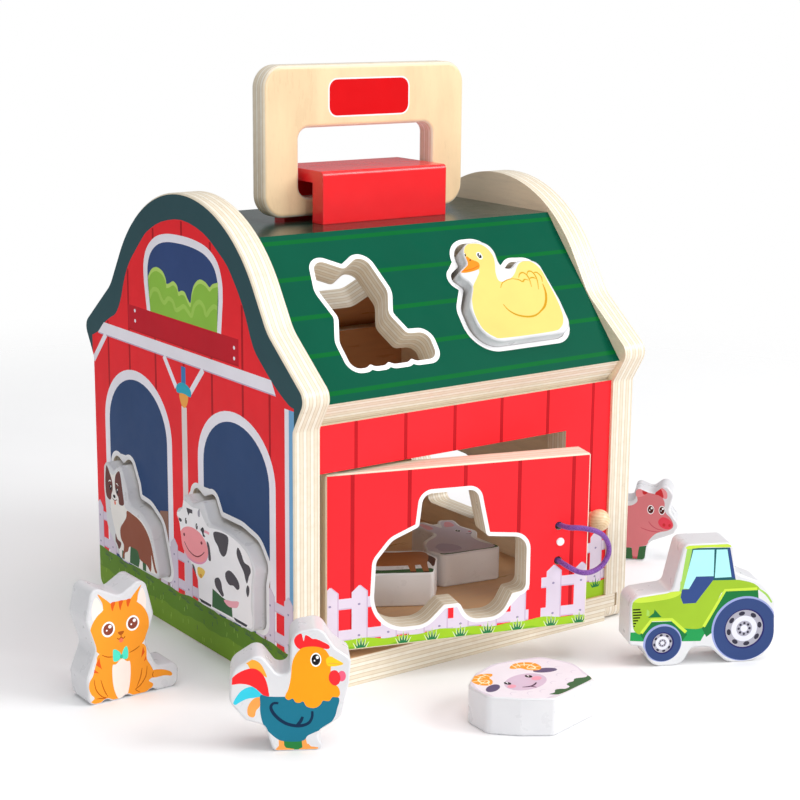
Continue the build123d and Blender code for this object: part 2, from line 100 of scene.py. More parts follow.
class Face:
    """A flat face seen from outside: origin, across to the viewer's right, up, and out."""

    def __init__(self, origin, across, out):
        self.origin = Vector(origin)
        self.across = Vector(across).normalized()
        self.out = Vector(out).normalized()
        self.up = self.out.cross(self.across)

    def point(self, a, b, c=0.0):
        """Place in metres of a point given in millimetres on the face."""
        return (self.origin + self.across * a + self.up * b + self.out * c) * MM

    def raised(self, across, up, proud):
        """The face of a block that stands proud, with its origin moved across and up."""
        origin = self.origin + self.across * across + self.up * up + self.out * proud
        return Face(origin, self.across, self.out)


left_gable = Face((-half_width, 0, 0), (0, -1, 0), (-1, 0, 0))
right_gable = Face((half_width, 0, 0), (0, 1, 0), (1, 0, 0))
front_wall = Face((0, front_face, 0), (1, 0, 0), (0, -1, 0))
back_wall = Face((0, -front_face, 0), (-1, 0, 0), (0, 1, 0))
front_slope = Face((0, -eave_out, eave_up), (1, 0, 0), (0, -slope_rise, slope_run))
back_slope = Face((0, eave_out, eave_up), (-1, 0, 0), (0, slope_rise, slope_run))
ridge_top = Face((0, 0, ridge_height), (1, 0, 0), (0, 0, 1))
handle_front = Face((0, -handle_thickness / 2, handle_foot), (1, 0, 0), (0, -1, 0))

swing = math.radians(door_open)
door_across = Vector((math.cos(swing), -math.sin(swing), 0))
door_out = Vector((-math.sin(swing), -math.cos(swing), 0))
door_front = Face(
    Vector(door_pin) - door_across * pin_from_edge + door_out * board / 2, door_across, door_out,
)


def standing(x, y, turn):
    angle = math.radians(turn)
    return Face((x, y, 0), (math.cos(angle), math.sin(angle), 0), (math.sin(angle), -math.cos(angle), 0))


def lying(x, y, height, turn):
    angle = math.radians(turn)
    return Face((x, y, height + block_thickness), (math.cos(angle), math.sin(angle), 0), (0, 0, 1))


block_faces = {
    "dog": left_gable.raised(-51, sill - seat_drop, 7),
    "cow": left_gable.raised(40.5, sill - seat_drop, 7),
    "duck": front_slope.raised(38.75, 19.5 - seat_drop, 6),
    "cat": standing(-174.5, -56, 0),
    "rooster": standing(-140, -157, -30),
    "tractor": standing(92.6, -184.4, -26),
    "pig": standing(176.6, -30.5, -47),
    "sheep": lying(-19.4, -208.9, 0, 13.5),
    "horse": lying(-19.3, -53.1, board, -30),
    "rabbit": lying(46.5, -49, board, -9),
    "goose": lying(2, 22, board, 6),
}


def new_node(tree, kind, inputs, **settings):
    """A node with its inputs set to numbers and colours, or joined to other nodes' outputs."""
    node = tree.nodes.new(kind)
    for key, value in settings.items():
        setattr(node, key, value)
    for key, value in inputs.items():
        connect(tree, node.inputs[key], value)
    return node


def connect(tree, socket, value):
    if isinstance(value, bpy.types.NodeSocket):
        tree.links.new(value, socket)
    else:
        socket.default_value = value


class Nodes:
    """A material's node tree, with short ways to add what most of them use."""

    def __init__(self, name):
        self.material = bpy.data.materials.new(name)
        self.material.use_nodes = True
        self.tree = self.material.node_tree
        self.shader = self.tree.nodes["Principled BSDF"]
        places = self.add("ShaderNodeTexCoord", {})
        self.place, self.side = places.outputs["Object"], places.outputs["Normal"]

    def add(self, kind, inputs, **settings):
        return new_node(self.tree, kind, inputs, **settings)

    def stretched(self, *scale):
        return self.add("ShaderNodeMapping", {"Scale": scale, "Vector": self.place}).outputs["Vector"]

    def noise(self, scale, detail=3.0, place=None, rough=0.55):
        inputs = {"Scale": scale, "Detail": detail, "Roughness": rough, "Vector": place or self.place}
        return self.add("ShaderNodeTexNoise", inputs).outputs["Fac"]

    def ramp(self, source, stops):
        node = self.add("ShaderNodeValToRGB", {"Fac": source})
        while len(node.color_ramp.elements) < len(stops):
            node.color_ramp.elements.new(0.5)
        for element, (spot, colour) in zip(node.color_ramp.elements, stops):
            element.position = spot
            element.color = colour
        return node.outputs["Color"]

    def clouds(self, source, low, high):
        return self.ramp(source, [(0.3, low), (0.7, high)])

    def spread(self, source, low, high, start=0.3, end=0.7, **settings):
        inputs = {"Value": source, "From Min": start, "From Max": end, "To Min": low, "To Max": high}
        return self.add("ShaderNodeMapRange", inputs, **settings).outputs["Result"]

    def mix(self, factor, first, second):
        return self.add("ShaderNodeMix", {0: factor, 6: first, 7: second}, data_type="RGBA").outputs[2]

    def along(self, source, direction):
        """How far a vector reaches along a direction."""
        inputs = {0: source, 1: tuple(direction)}
        return self.add("ShaderNodeVectorMath", inputs, operation="DOT_PRODUCT").outputs["Value"]

    def scaled(self, value, factor, added):
        inputs = {0: value, 1: factor, 2: added}
        return self.add("ShaderNodeMath", inputs, operation="MULTIPLY_ADD").outputs["Value"]

    def bump(self, source, strength, distance, rounding=None):
        """A bump, on edges that look rounded where rounding gives their radius in metres."""
        inputs = {"Strength": strength, "Distance": distance, "Height": source}
        if rounding is not None:
            inputs["Normal"] = self.add("ShaderNodeBevel", {"Radius": rounding}, samples=4).outputs["Normal"]
        return self.add("ShaderNodeBump", inputs).outputs["Normal"]

    def finish(self, colour, roughness, normal, others=None):
        inputs = {"Base Color": colour, "Roughness": roughness, "Normal": normal, **(others or {})}
        for key, value in inputs.items():
            connect(self.tree, self.shader.inputs[key], value)
        return self.material


def linear(r, g, b):
    """An ink's colour as the shader wants it, from 0 to 255 steps."""
    steps = [value / 255 for value in (r, g, b)]
    return tuple(s / 12.92 if s <= 0.04045 else ((s + 0.055) / 1.055) ** 2.4 for s in steps) + (1.0,)


def shade(colour, factor):
    return tuple(min(1.0, channel * factor) for channel in colour[:3]) + (1.0,)


def clear_coat(weight):
    return {"Coat Weight": weight, "Coat Roughness": 0.18}


made_inks = {}
glossy_ink = "ridge_green"


def ink(name):
    """Printed lacquer in one colour: slightly uneven, with the wood's grain faintly through it."""
    if name in made_inks:
        return made_inks[name]
    colour = linear(*palette[name])
    glossy = name == glossy_ink
    n = Nodes("ink_" + name)
    base = n.clouds(n.noise(34), shade(colour, 0.94), shade(colour, 1.03))
    base = n.mix(n.spread(n.noise(900, 2.0), 0.0, 0.05), base, shade(colour, 0.80))
    roughness = (0.14, 0.22) if glossy else (0.30, 0.42)
    grain = n.noise(42, 5.0, n.stretched(1.0, 1.0, 9.0))
    made_inks[name] = n.finish(
        base, n.spread(n.noise(120), *roughness), n.bump(grain, 0.06, 0.0003),
        {"Specular IOR Level": 0.5 if glossy else 0.06},
    )
    return made_inks[name]


def plywood(name, face, grain_scale=(1.2, 12.0, 12.0), flat=(248, 230, 200), painted_inner_shade=None):
    """Birch plywood: plies across the board's thickness, face grain on its flats.

    face is the board's outer face, from which the plies are counted. The colour given for the board's other
    side,
    where one is given, is painted shade: a darker, warmer tone that stands in for the dim light inside the
    barn.
    """
    n = Nodes(name)
    pale_ply, light_ply, dark_ply = linear(240, 233, 218), linear(231, 219, 197), linear(202, 180, 148)
    inward = -face.out
    start = face.origin.dot(inward) * MM
    depth = n.scaled(n.along(n.place, inward), 1 / (board * MM), -start / (board * MM))
    stops = [(0.0, dark_ply), (0.03, light_ply)]
    for k, seam in enumerate(ply_seams):
        before, after = (pale_ply, light_ply) if k % 2 else (light_ply, pale_ply)
        stops += [(seam - 0.022, before), (seam, dark_ply), (seam + 0.02, after)]
    stops.append((0.985, light_ply))
    plies = n.ramp(n.scaled(n.noise(22), 0.03, depth), stops)
    plies = n.mix(n.spread(n.noise(260), 0.0, 0.22, 0.42, 0.75), plies, dark_ply)
    grain = n.noise(26, 5.0, n.stretched(*grain_scale), 0.6)
    flat = linear(*flat)
    board_face = n.ramp(grain, [(0.30, shade(flat, 0.90)), (0.55, flat), (0.75, shade(flat, 1.05))])
    fleck = n.noise(300, 2.0, n.stretched(*grain_scale))
    board_face = n.mix(n.spread(fleck, 0.0, 0.12, 0.56, 0.75), board_face, linear(206, 170, 126))
    facing = n.along(n.side, inward)
    # Painted shade: faces that look into the barn get the darker colour, where one is given.
    if painted_inner_shade is not None:
        painted_shade = n.clouds(grain, shade(linear(*painted_inner_shade), 0.9), linear(*painted_inner_shade))
        board_face = n.mix(n.spread(facing, 0.0, 1.0, 0.80, 0.90), board_face, painted_shade)
    on_flat = n.add("ShaderNodeMath", {0: facing}, operation="ABSOLUTE").outputs["Value"]
    base = n.mix(n.spread(on_flat, 0.0, 1.0, 0.80, 0.90), plies, board_face)
    return n.finish(base, n.spread(grain, 0.26, 0.42), n.bump(grain, 0.10, 0.0004, sharp_edge))


def white_paint(name, tone):
    """Sides and backs of the blocks: white paint rolled over sanded wood."""
    n = Nodes(name)
    base = n.clouds(n.noise(60, 4.0), linear(tone, tone, tone + 3), linear(tone + 6, tone + 6, tone + 8))
    base = n.mix(n.spread(n.noise(420), 0.0, 0.03, 0.5, 0.8), base, linear(204, 200, 196))
    rolled = n.bump(n.noise(45, 2.0), 0.05, 0.0003, soft_edge)
    return n.finish(base, n.spread(n.noise(150, 2.0), 0.26, 0.36), rolled)


def gloss_paint(name, colour):
    """Thick sprayed gloss over sanded wood, with softened edges."""
    n = Nodes(name)
    base = n.clouds(n.noise(40), shade(colour, 0.95), shade(colour, 1.02))
    base = n.mix(n.spread(n.noise(260), 0.0, 0.03, 0.5, 0.8), base, shade(colour, 0.75))
    sanded = n.bump(n.noise(26, 3.0, n.stretched(1.0, 5.0, 5.0)), 0.03, 0.0003, soft_edge)
    return n.finish(base, n.spread(n.noise(90), 0.20, 0.26), sanded, clear_coat(0.25))


def turned_wood():
    """Clear lacquered end-grain ball: growth rings across its axis."""
    n = Nodes("turned_wood")
    middle = (-knob_across * MM, 0.0, -knob_up * MM)
    centred = n.add("ShaderNodeMapping", {"Location": middle, "Vector": n.place})
    rings = n.add("ShaderNodeTexWave", {
        "Scale": 220, "Distortion": 2.4, "Detail": 2, "Vector": centred.outputs["Vector"],
    }, wave_type="RINGS", rings_direction="Y").outputs["Fac"]
    base = n.ramp(rings, [(0.2, linear(230, 200, 156)), (0.8, linear(242, 216, 178))])
    fleck = n.noise(900, 2.0, n.stretched(1.0, 0.2, 1.0))
    base = n.mix(n.spread(fleck, 0.0, 0.3, 0.5, 0.75), base, linear(198, 152, 106))
    return n.finish(base, n.spread(fleck, 0.28, 0.40), n.bump(rings, 0.06, 0.0003), clear_coat(0.3))


def zinc_steel():
    n = Nodes("zinc_steel")
    streaks = n.noise(120, 4.0, n.stretched(1.0, 1.0, 0.08))
    base = n.clouds(streaks, (0.46, 0.47, 0.49, 1), (0.66, 0.66, 0.67, 1))
    drawn = n.bump(streaks, 0.10, 0.0002)
    return n.finish(base, n.spread(n.noise(300), 0.24, 0.42), drawn, {"Metallic": 1.0})


def moulded_white():
    n = Nodes("moulded_white")
    base = n.clouds(n.noise(400, 2.0), linear(240, 238, 240), linear(252, 251, 252))
    return n.finish(base, n.spread(n.noise(500, 2.0), 0.22, 0.32), n.bump(n.noise(800, 2.0), 0.05, 0.0002))


def elastic_cover():
    """Round elastic: a fine braided cover, with painted highlights where the yarns cross and painted shade in
    the creases between them.
    """
    n = Nodes("elastic_cover")
    cells = n.add("ShaderNodeTexVoronoi", {"Scale": 1900, "Vector": n.place}, feature="F1")
    weave = cells.outputs["Distance"]
    # Painted light on the weave: lighter in the middle of each cell, darker towards its edges.
    yarn_and_crease_shade = n.ramp(weave, [(0.1, linear(154, 88, 186)), (0.8, linear(80, 32, 120))])
    base = n.mix(n.spread(n.noise(70), 0.0, 0.4), yarn_and_crease_shade, linear(106, 48, 142))
    return n.finish(
        base, n.spread(weave, 0.50, 0.66, 0.0, 0.8), n.bump(weave, 0.35, 0.0002), {"Sheen Weight": 0.25},
    )


def floor_material():
    """Pale floor that runs out into the white background."""
    n = Nodes("floor_pale")
    base = n.clouds(n.noise(6), (0.93, 0.93, 0.935, 1), (0.95, 0.95, 0.95, 1))
    n.finish(base, 0.7, n.bump(n.noise(200, 2.0), 0.02, 0.0004), {"Specular IOR Level": 0.15})
    reach = n.add("ShaderNodeVectorMath", {0: n.place}, operation="LENGTH").outputs["Value"]
    both = n.add("ShaderNodeMixShader", {
        "Fac": n.spread(reach, 0.0, 1.0, 0.42, 0.95, interpolation_type="SMOOTHSTEP"),
        1: n.shader.outputs["BSDF"],
        2: n.add("ShaderNodeBsdfTransparent", {}).outputs["BSDF"],
    })
    connect(n.tree, n.tree.nodes["Material Output"].inputs["Surface"], both.outputs["Shader"])
    return n.material


palette = {
    "white": (244, 243, 244), "barn_red": (247, 46, 54), "plank_line": (186, 28, 36),
    "deep_red": (204, 30, 46),
    "roof_band": (54, 85, 91), "roof_green": (0, 82, 60), "roof_stripe": (0, 100, 44),
    "trim": (246, 242, 250),
    "fence": (222, 210, 226), "fence_shadow": (204, 184, 208), "nail": (150, 140, 172),
    "grass": (160, 204, 48), "grass_shade": (132, 184, 44), "tuft": (44, 124, 76),
    "tuft_light": (214, 230, 170),
    "navy": (50, 76, 120), "arch_low": (150, 112, 96), "sky": (56, 78, 128), "bush": (150, 200, 76),
    "bush_rim": (190, 224, 112), "bush_light": (170, 212, 94),
    "lamp_cap": (66, 130, 190), "lamp_shade": (52, 176, 200), "lamp_bulb": (252, 176, 84),
    "post": (240, 224, 222),
    "ridge_green": (4, 44, 36), "meadow_light": (98, 138, 42), "meadow_low": (118, 154, 46),
    "strip_blue": (120, 176, 220), "meadow_speck": (150, 184, 78), "tuft_grey": (72, 96, 70),
    "plate_red": (218, 18, 24),
    "black": (34, 30, 32), "tooth_white": (255, 255, 255),
    "cat_orange": (248, 156, 48), "cat_stripe": (226, 92, 34), "cat_line": (184, 92, 20),
    "cat_belly": (254, 234, 224),
    "eye_brown": (140, 70, 54), "eye_deep": (84, 36, 30), "nose_brown": (176, 88, 30),
    "tongue": (240, 120, 88), "bow": (86, 228, 200), "bow_dark": (70, 190, 150),
    "hen_orange": (255, 160, 30), "hen_shade": (246, 172, 60), "hen_red": (246, 46, 50),
    "hen_wattle": (236, 50, 56), "hen_pink": (240, 100, 130), "hen_beak": (255, 204, 40),
    "hen_body": (33, 116, 140), "hen_line": (22, 48, 76), "hen_cyan": (60, 204, 226),
    "hen_foot": (250, 164, 84),
    "leaf": (46, 128, 66), "lime": (156, 191, 52), "lime_light": (198, 224, 74), "lime_pale": (162, 206, 96),
    "green_deep": (34, 116, 62), "green_mid": (42, 150, 82), "glass": (176, 240, 242),
    "frame_teal": (38, 92, 98), "frame_blue": (56, 78, 134), "tyre": (56, 74, 122),
    "tyre_rim": (152, 162, 210), "tyre_dark": (44, 44, 98), "hub": (166, 164, 176), "hub_dark": (56, 54, 68),
    "hub_light": (222, 222, 236), "grille": (34, 42, 16),
    "duck_yellow": (243, 205, 118), "duck_line": (196, 152, 34), "duck_line_deep": (198, 148, 28),
    "duck_beak": (240, 140, 36), "duck_beak_low": (214, 106, 30),
    "fleece": (230, 225, 231), "fleece_line": (216, 208, 219), "sheep_face": (208, 188, 206),
    "sheep_cheek": (230, 160, 176), "sheep_ear": (98, 88, 118), "horn": (238, 158, 54),
    "horn_light": (255, 236, 196), "smile": (70, 44, 70), "meadow": (62, 104, 66),
    "pig_pink": (215, 124, 128), "pig_light": (232, 144, 147), "pig_ear": (204, 52, 56),
    "pig_snout": (226, 70, 86), "pig_line": (196, 84, 96),
    "dog_brown": (150, 84, 62), "dog_dark": (112, 64, 58), "dog_white": (246, 242, 236),
    "cow_patch": (84, 80, 86), "cow_white": (250, 248, 250), "cow_snout": (252, 160, 166),
    "cow_low": (238, 156, 190), "cow_pink": (248, 176, 188), "cow_line": (120, 44, 50),
    "bell": (246, 206, 98), "bell_dark": (222, 160, 62), "hoof": (62, 62, 68),
    "horse_brown": (176, 110, 66), "horse_mane": (92, 52, 40), "horse_muzzle": (228, 190, 160),
    "rabbit_fur": (226, 216, 232), "rabbit_shade": (204, 190, 214), "goose_white": (248, 246, 244),
    "goose_wing": (206, 214, 228),
}


# Shapes of the prints, in millimetres on their face.


def oval(x, y, rx, ry=None, turn=0.0, steps=28):
    ry = rx if ry is None else ry
    c, s = math.cos(math.radians(turn)), math.sin(math.radians(turn))
    points = []
    for k in range(steps):
        angle = math.tau * k / steps
        px, py = rx * math.cos(angle), ry * math.sin(angle)
        points.append((x + px * c - py * s, y + px * s + py * c))
    return points


def smooth(points, steps=5, closed=True):
    """A curve through the points (Catmull-Rom)."""
    count = len(points)
    result = []
    for k in range(count if closed else count - 1):
        if closed:
            p0, p1, p2, p3 = (points[(k + shift) % count] for shift in (-1, 0, 1, 2))
        else:
            p0, p1, p2, p3 = (points[min(max(k + shift, 0), count - 1)] for shift in (-1, 0, 1, 2))
        for step in range(steps):
            t = step / steps
            result.append(tuple(
                0.5 * (2 * b + (c - a) * t + (2 * a - 5 * b + 4 * c - d) * t * t
                       + (3 * b - a - 3 * c + d) * t ** 3)
                for a, b, c, d in zip(p0, p1, p2, p3)
            ))
    if not closed:
        result.append(tuple(points[-1]))
    return result


def stroke(points, width, taper=0.0, curved=True):
    """A line with a width, thinner towards its ends by the taper."""
    line = smooth(points, 4, closed=False) if curved and len(points) > 2 else list(points)
    left, right = [], []
    last = len(line) - 1
    for k, (x, y) in enumerate(line):
        ax, ay = line[max(k - 1, 0)]
        bx, by = line[min(k + 1, last)]
        length = math.hypot(bx - ax, by - ay) or 1.0
        nx, ny = -(by - ay) / length, (bx - ax) / length
        end = min(k, last - k) / max(last / 2, 1)
        half = width / 2 * (1 - taper * (1 - min(1.0, end * 1.6)))
        left.append((x + nx * half, y + ny * half))
        right.append((x - nx * half, y - ny * half))
    return left + right[::-1]


def arched(left, right, top, spring, low):
    """A doorway shape: straight sides and a half round head."""
    middle = (left + right) / 2
    points = [(left, low), (right, low)]
    for k in range(25):
        angle = math.pi * k / 24
        across, up = (right - left) / 2 * math.cos(angle), (top - spring) * math.sin(angle)
        points.append((middle + across, spring + up))
    return points


def rounded(x, y, width, height, radius):
    """A plate with round corners."""
    points = []
    for side, way, start in ((1, 1, 0), (-1, 1, 90), (-1, -1, 180), (1, -1, 270)):
        for k in range(7):
            angle = math.radians(start + 15 * k)
            points.append((
                x + side * (width / 2 - radius) + radius * math.cos(angle),
                y + way * (height / 2 - radius) + radius * math.sin(angle),
            ))
    return points


def height_at(outline, x):
    """How high an outline that runs from left to right is at x."""
    return next(
        y0 + (y1 - y0) * (x - x0) / (x1 - x0)
        for (x0, y0), (x1, y1) in zip(outline, outline[1:]) if x0 <= x <= x1
    )


def area(points):
    return 0.5 * sum(
        x0 * y1 - x1 * y0 for (x0, y0), (x1, y1) in zip(points, points[1:] + points[:1])
    )


def border(loop, distance):
    """The loop moved outward by a distance, with no crossing at its inner corners."""
    points = np.array(loop)
    if area(loop) < 0:
        points = points[::-1]
    ends = np.roll(points, -1, 0)
    run = ends - points
    forward = run / np.linalg.norm(run, axis=1)[:, None]
    outward = np.stack([forward[:, 1], -forward[:, 0]], 1)
    normal = outward + np.roll(outward, 1, 0)
    normal /= np.linalg.norm(normal, axis=1)[:, None]
    stretch = 1 / np.clip((normal * outward).sum(1), 0.5, 1)
    kept = []
    for spot in points + normal * (distance * stretch)[:, None]:
        t = np.clip(((spot - points) * run).sum(1) / (run * run).sum(1), 0, 1)
        gap = np.linalg.norm(points + run * t[:, None] - spot, axis=1).min()
        if gap > distance * 0.985:
            kept.append(tuple(spot))
    return kept


class Art(list):
    """The print of a face: a list of (ink, outline), the later ones on top."""

    def fill(self, colour, *outlines):
        self.extend((colour, points) for points in outlines)

    def bar(self, colour, x0, y0, x1, y1):
        self.fill(colour, [(x0, y0), (x1, y0), (x1, y1), (x0, y1)])

    def dot(self, colour, *size, steps=28):
        self.fill(colour, oval(*size, steps=steps))

    def blob(self, colour, *outlines, steps=5):
        self.fill(colour, *(smooth(points, steps) for points in outlines))

    def line(self, colour, width, *lines, taper=0.0, curved=True):
        self.fill(colour, *(stroke(points, width, taper, curved) for points in lines))

    def rims(self, holes, width):
        """White borders round the shaped holes, and none round the small ones of the loop."""
        for hole in holes:
            if abs(area(hole)) > 100:
                self.fill("white", border(hole, width))

    def planks(self, lines, low, high, width=2.1):
        for x in lines:
            self.bar("plank_line", x - width / 2, low, x + width / 2, high)

    def fence(self, posts, left, right, rails=((25.5, 30.5), (42.0, 47.0)), half=3.9, top=50.0, peak=53.5):
        foot, shadow = 23.0, 0.7
        for low, high in rails:
            self.bar("fence_shadow", left, low - shadow, right, high)
            self.bar("fence", left, low, right, high)
        for post in posts:
            left, right = post - half, post + half
            outline = [(left, foot), (right, foot), (right, top), (post, peak), (left, top)]
            self.fill("fence_shadow", [(x + shadow, y) for x, y in outline])
            self.fill("fence", outline)
            for low, high in rails:
                self.dot("nail", post, (low + high) / 2 - 1, 0.75, 0.6, steps=8)

    def tuft(self, x, y, size=1.0, colour="tuft", blade=0.8):
        """A small clump of grass blades."""
        for lean, height, foot in (
            (-3.8, 2.8, -1.6), (-2.2, 4.8, -0.8), (0.1, 6.0, 0.0), (2.4, 4.6, 0.8), (3.9, 2.6, 1.6),
        ):
            self.fill(colour, [
                (x + (foot - blade) * size, y), (x + (foot + blade) * size, y),
                (x + lean * size, y + height * size),
            ])

    def grass(self, left, right, low, top, waves, colour="grass"):
        points = [(left, low), (right, low)]
        steps = max(8, int((right - left) / 3))
        for k in range(steps + 1):
            x = right + (left - right) * k / steps
            points.append((x, top + 0.7 * math.sin(x * waves) + 0.4 * math.sin(x * waves * 2.7 + 1)))
        self.fill(colour, points)

    def lawn(self, left, right, low):
        self.grass(left, right, low, 24.6, 0.12)
        self.grass(left, right, low, 20.5, 0.19, "grass_shade")

    def stamp(self, drawing, x, y, turn, flip=1):
        """Another drawing, moved and turned, and mirrored where flip is -1."""
        c, s = math.cos(math.radians(turn)), math.sin(math.radians(turn))
        for colour, points in drawing:
            self.fill(colour, [
                (x + flip * px * c - py * s, y + flip * px * s + py * c) for px, py in points
            ])

    def eye(self, x, y, rx, ry, ring=1.3, iris="black"):
        """An eye with two lights, and a pale ring where ring is over 1."""
        if ring > 1:
            self.dot("tooth_white", x, y, rx * ring, ry * ring)
        self.dot(iris, x, y, rx, ry)
        self.dot("tooth_white", x + rx * 0.35, y + ry * 0.42, rx * 0.34, ry * 0.30, steps=14)
        self.dot("tooth_white", x - rx * 0.30, y - ry * 0.15, rx * 0.18, ry * 0.16, steps=10)

    def wheel(self, x, y, size, hub):
        self.dot("tyre_rim", x, y, size, steps=56)
        self.dot("tyre", x + 0.35, y - 0.45, size - 0.75, steps=56)
        self.dot("tyre_dark", x + 0.2, y - 0.1, hub + 0.75, steps=40)
        self.dot("hub", x, y, hub, steps=40)
        slots, bolts = 8, 8
        for k in range(slots):
            angle = math.tau * (k + 0.25) / slots
            spot = x + hub * 0.83 * math.cos(angle), y + hub * 0.83 * math.sin(angle)
            self.dot("hub_dark", *spot, hub * 0.17, hub * 0.115, math.degrees(angle) + 90, steps=12)
        self.dot("hub_light", x, y, hub * 0.69, steps=32)
        self.dot("hub", x, y, hub * 0.42, steps=26)
        for k in range(bolts):
            angle = math.tau * k / bolts
            spot = x + hub * 0.29 * math.cos(angle), y + hub * 0.29 * math.sin(angle)
            self.dot("hub_dark", *spot, hub * 0.07, steps=8)
        self.dot("hub_light", x, y, hub * 0.19, steps=18)


def face_loops(mesh, face):
    """The flat polygons of a printed face, and their outline and hole loops of vertices."""
    origin = face.point(0, 0)
    flat = [
        polygon for polygon in mesh.faces
        if polygon.normal.dot(face.out) > same_way
        and abs((polygon.calc_center_median() - origin).dot(face.out)) < same_plane
    ]
    members = set(flat)
    after = {}
    for polygon in flat:
        for corner in polygon.loops:
            if sum(other in members for other in corner.edge.link_faces) == 1:
                after[corner.vert] = corner.link_loop_next.vert
    loops = []
    while after:
        start, here = after.popitem()
        loop = [start]
        while here is not start:
            loop.append(here)
            here = after.pop(here)
        loops.append(loop)
    return flat, loops


def split_border(mesh, loops, rings, face, found, free, place):
    """Splits the mesh's edges round the face where a painted shape meets them."""
    spots = np.array([(found[corner][0], found[corner][1]) for corner in free])
    for loop, ring in zip(loops, rings):
        for k, start in enumerate(ring):
            start = np.array(start)
            run = np.array(ring[(k + 1) % len(ring)]) - start
            length = np.linalg.norm(run)
            t = (spots - start) @ run / (length * length)
            off = np.abs((spots - start) @ np.array([-run[1], run[0]]) / length)
            meets = (off < on_border) & (t > at_end) & (t < 1 - at_end)
            on_edge = sorted((t[j], free[j]) for j in np.nonzero(meets)[0])
            here, far = loop[k], loop[(k + 1) % len(loop)]
            for _, corner in on_edge:
                edge = mesh.edges.get((here, far))
                if corner in place or edge is None:
                    continue
                here = bmesh.utils.edge_split(edge, here, 0.5)[1]
                here.co = face.point(*found[corner])
                place[corner] = here


def paint(mesh, face, art, inks):
    """Cuts a printed face of the mesh along its painted shapes, the later ones on top.

    art is an Art, or a function that draws on an empty one round the hole loops that it gets.
    """
    flat, loops = face_loops(mesh, face)
    origin = face.point(0, 0)

    def flattened(vertex):
        away = vertex.co - origin
        return (away.dot(face.across) / MM, away.dot(face.up) / MM)

    rings = [[flattened(vertex) for vertex in loop] for loop in loops]
    shapes = art
    if callable(art):
        shapes = Art()
        art(shapes, [ring for ring in rings if area(ring) < 0])
    points, polygons = [], []
    for ring in rings:
        ids = list(range(len(points), len(points) + len(ring)))
        points += ring
        polygons.append(ids if area(ring) > 0 else ids[::-1])
    owner = [vertex for loop in loops for vertex in loop]
    for _, outline in shapes:
        polygons.append(list(range(len(points), len(points) + len(outline))))
        points += outline if area(outline) > 0 else outline[::-1]
    found, _, triangles, vertex_from, _, face_from = delaunay_2d_cdt(
        [Vector(point) for point in points], [], polygons, 0, 1e-5
    )
    outer = {k for k, ring in enumerate(rings) if area(ring) > 0}
    inner = set(range(len(rings))) - outer
    kept = [
        (triangle, max((k for k in sources if k >= len(rings)), default=None))
        for triangle, sources in zip(triangles, face_from)
        if outer.intersection(sources) and not inner.intersection(sources)
    ]
    place, free = {}, []
    for corner in sorted({corner for triangle, _ in kept for corner in triangle}):
        own = [source for source in vertex_from[corner] if source < len(owner)]
        if own:
            place[corner] = owner[own[0]]
        else:
            free.append(corner)
    bmesh.ops.delete(mesh, geom=flat, context="FACES")
    if free:
        split_border(mesh, loops, rings, face, found, free, place)
    for corner in free:
        if corner not in place:
            place[corner] = mesh.verts.new(face.point(*found[corner]))
    for triangle, top in kept:
        corners = [place[corner] for corner in triangle]
        if len(set(corners)) < 3:
            continue
        try:
            polygon = mesh.faces.new(corners)
        except ValueError:
            continue
        polygon.material_index = 0
        if top is not None:
            key = shapes[top - len(rings)][0]
            if key not in inks:
                inks.append(key)
            polygon.material_index = 1 + inks.index(key)


def printed(node_name, body, side_material, face, art):
    """A piece that stands for a CAD node, with its printed face painted."""
    mesh = bmesh.new()
    mesh.from_mesh(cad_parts[node_name].data)
    bmesh.ops.remove_doubles(mesh, verts=mesh.verts, dist=weld)
    mesh.normal_update()
    inks = []
    for polygon in mesh.faces:
        polygon.material_index = 0
    paint(mesh, face, art, inks)
    mesh.normal_update()
    for edge in mesh.edges:
        edge.smooth = len(edge.link_faces) == 2 and edge.calc_face_angle(0.0) < smooth_below
    for polygon in mesh.faces:
        polygon.smooth = True
    data = bpy.data.meshes.new(node_name + "_printed")
    mesh.to_mesh(data)
    mesh.free()
    for material in (side_material, *(ink(key) for key in inks)):
        data.materials.append(material)
    piece = new_piece(node_name + "_printed", data)
    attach(piece, body)
    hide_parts(node_name)


# Prints of the barn.


def door_art(art, holes):
    art.bar("barn_red", -5, 0, 160, 130)
    art.planks((13.9, 43.7, 73.5, 103.0, 133.0), 0, 130)
    art.fence((2.2, 17.5, 33.0, 48.0, 60.5, 72.0, 87.5, 103.5), -5, 109.7)
    art.fence((123.3, 139.0), 116.5, 150)
    art.lawn(-5, 160, 10)
    for x in (3.5, 18.5, 41.0, 56.5, 72.0, 87.0, 103.5, 122.5, 138.5):
        art.tuft(x, 20.2, 1.16, "tuft_light", 1.0)
        art.tuft(x, 20.2, 0.95)
    art.rims(holes, 2.1)


def front_art(art, holes):
    art.bar("barn_red", -120, 0, 120, 160)
    art.planks((-72.3, -42.3, -11.5, 19.0, 50.2, 81.8), 0, 160)
    art.fence((71.3, 87.3), 60, 120)
    art.grass(55, 120, 5, 24.6, 0.12)
    art.tuft(72.5, 20.6)
    art.tuft(88, 20.6)


def back_art(art, holes):
    art.bar("barn_red", -120, 0, 120, 160)
    art.planks((-90, -60, -30, 0, 30, 60, 90), 0, 160)
    art.fence((-86, -70.5, -55, -39.5, -24), -120, -19)
    art.fence((-8.5, 7), -14, 12)
    art.fence((24, 39.5, 55, 70.5, 86), 19, 120)
    art.lawn(-120, 120, 5)
    for x in (-78, -47, -16, 0, 31, 62, 84):
        art.tuft(x, 20.6)
    art.rims(holes, 2.6)


def roof_art(art, holes):
    art.bar("roof_green", -130, -20, 130, 130)
    for s in (5.5, 26.8, 48.3, 70.5, 92.0):
        art.bar("roof_stripe", -130, s - 1.25, 130, s + 1.25)
    art.rims(holes, 2.6)


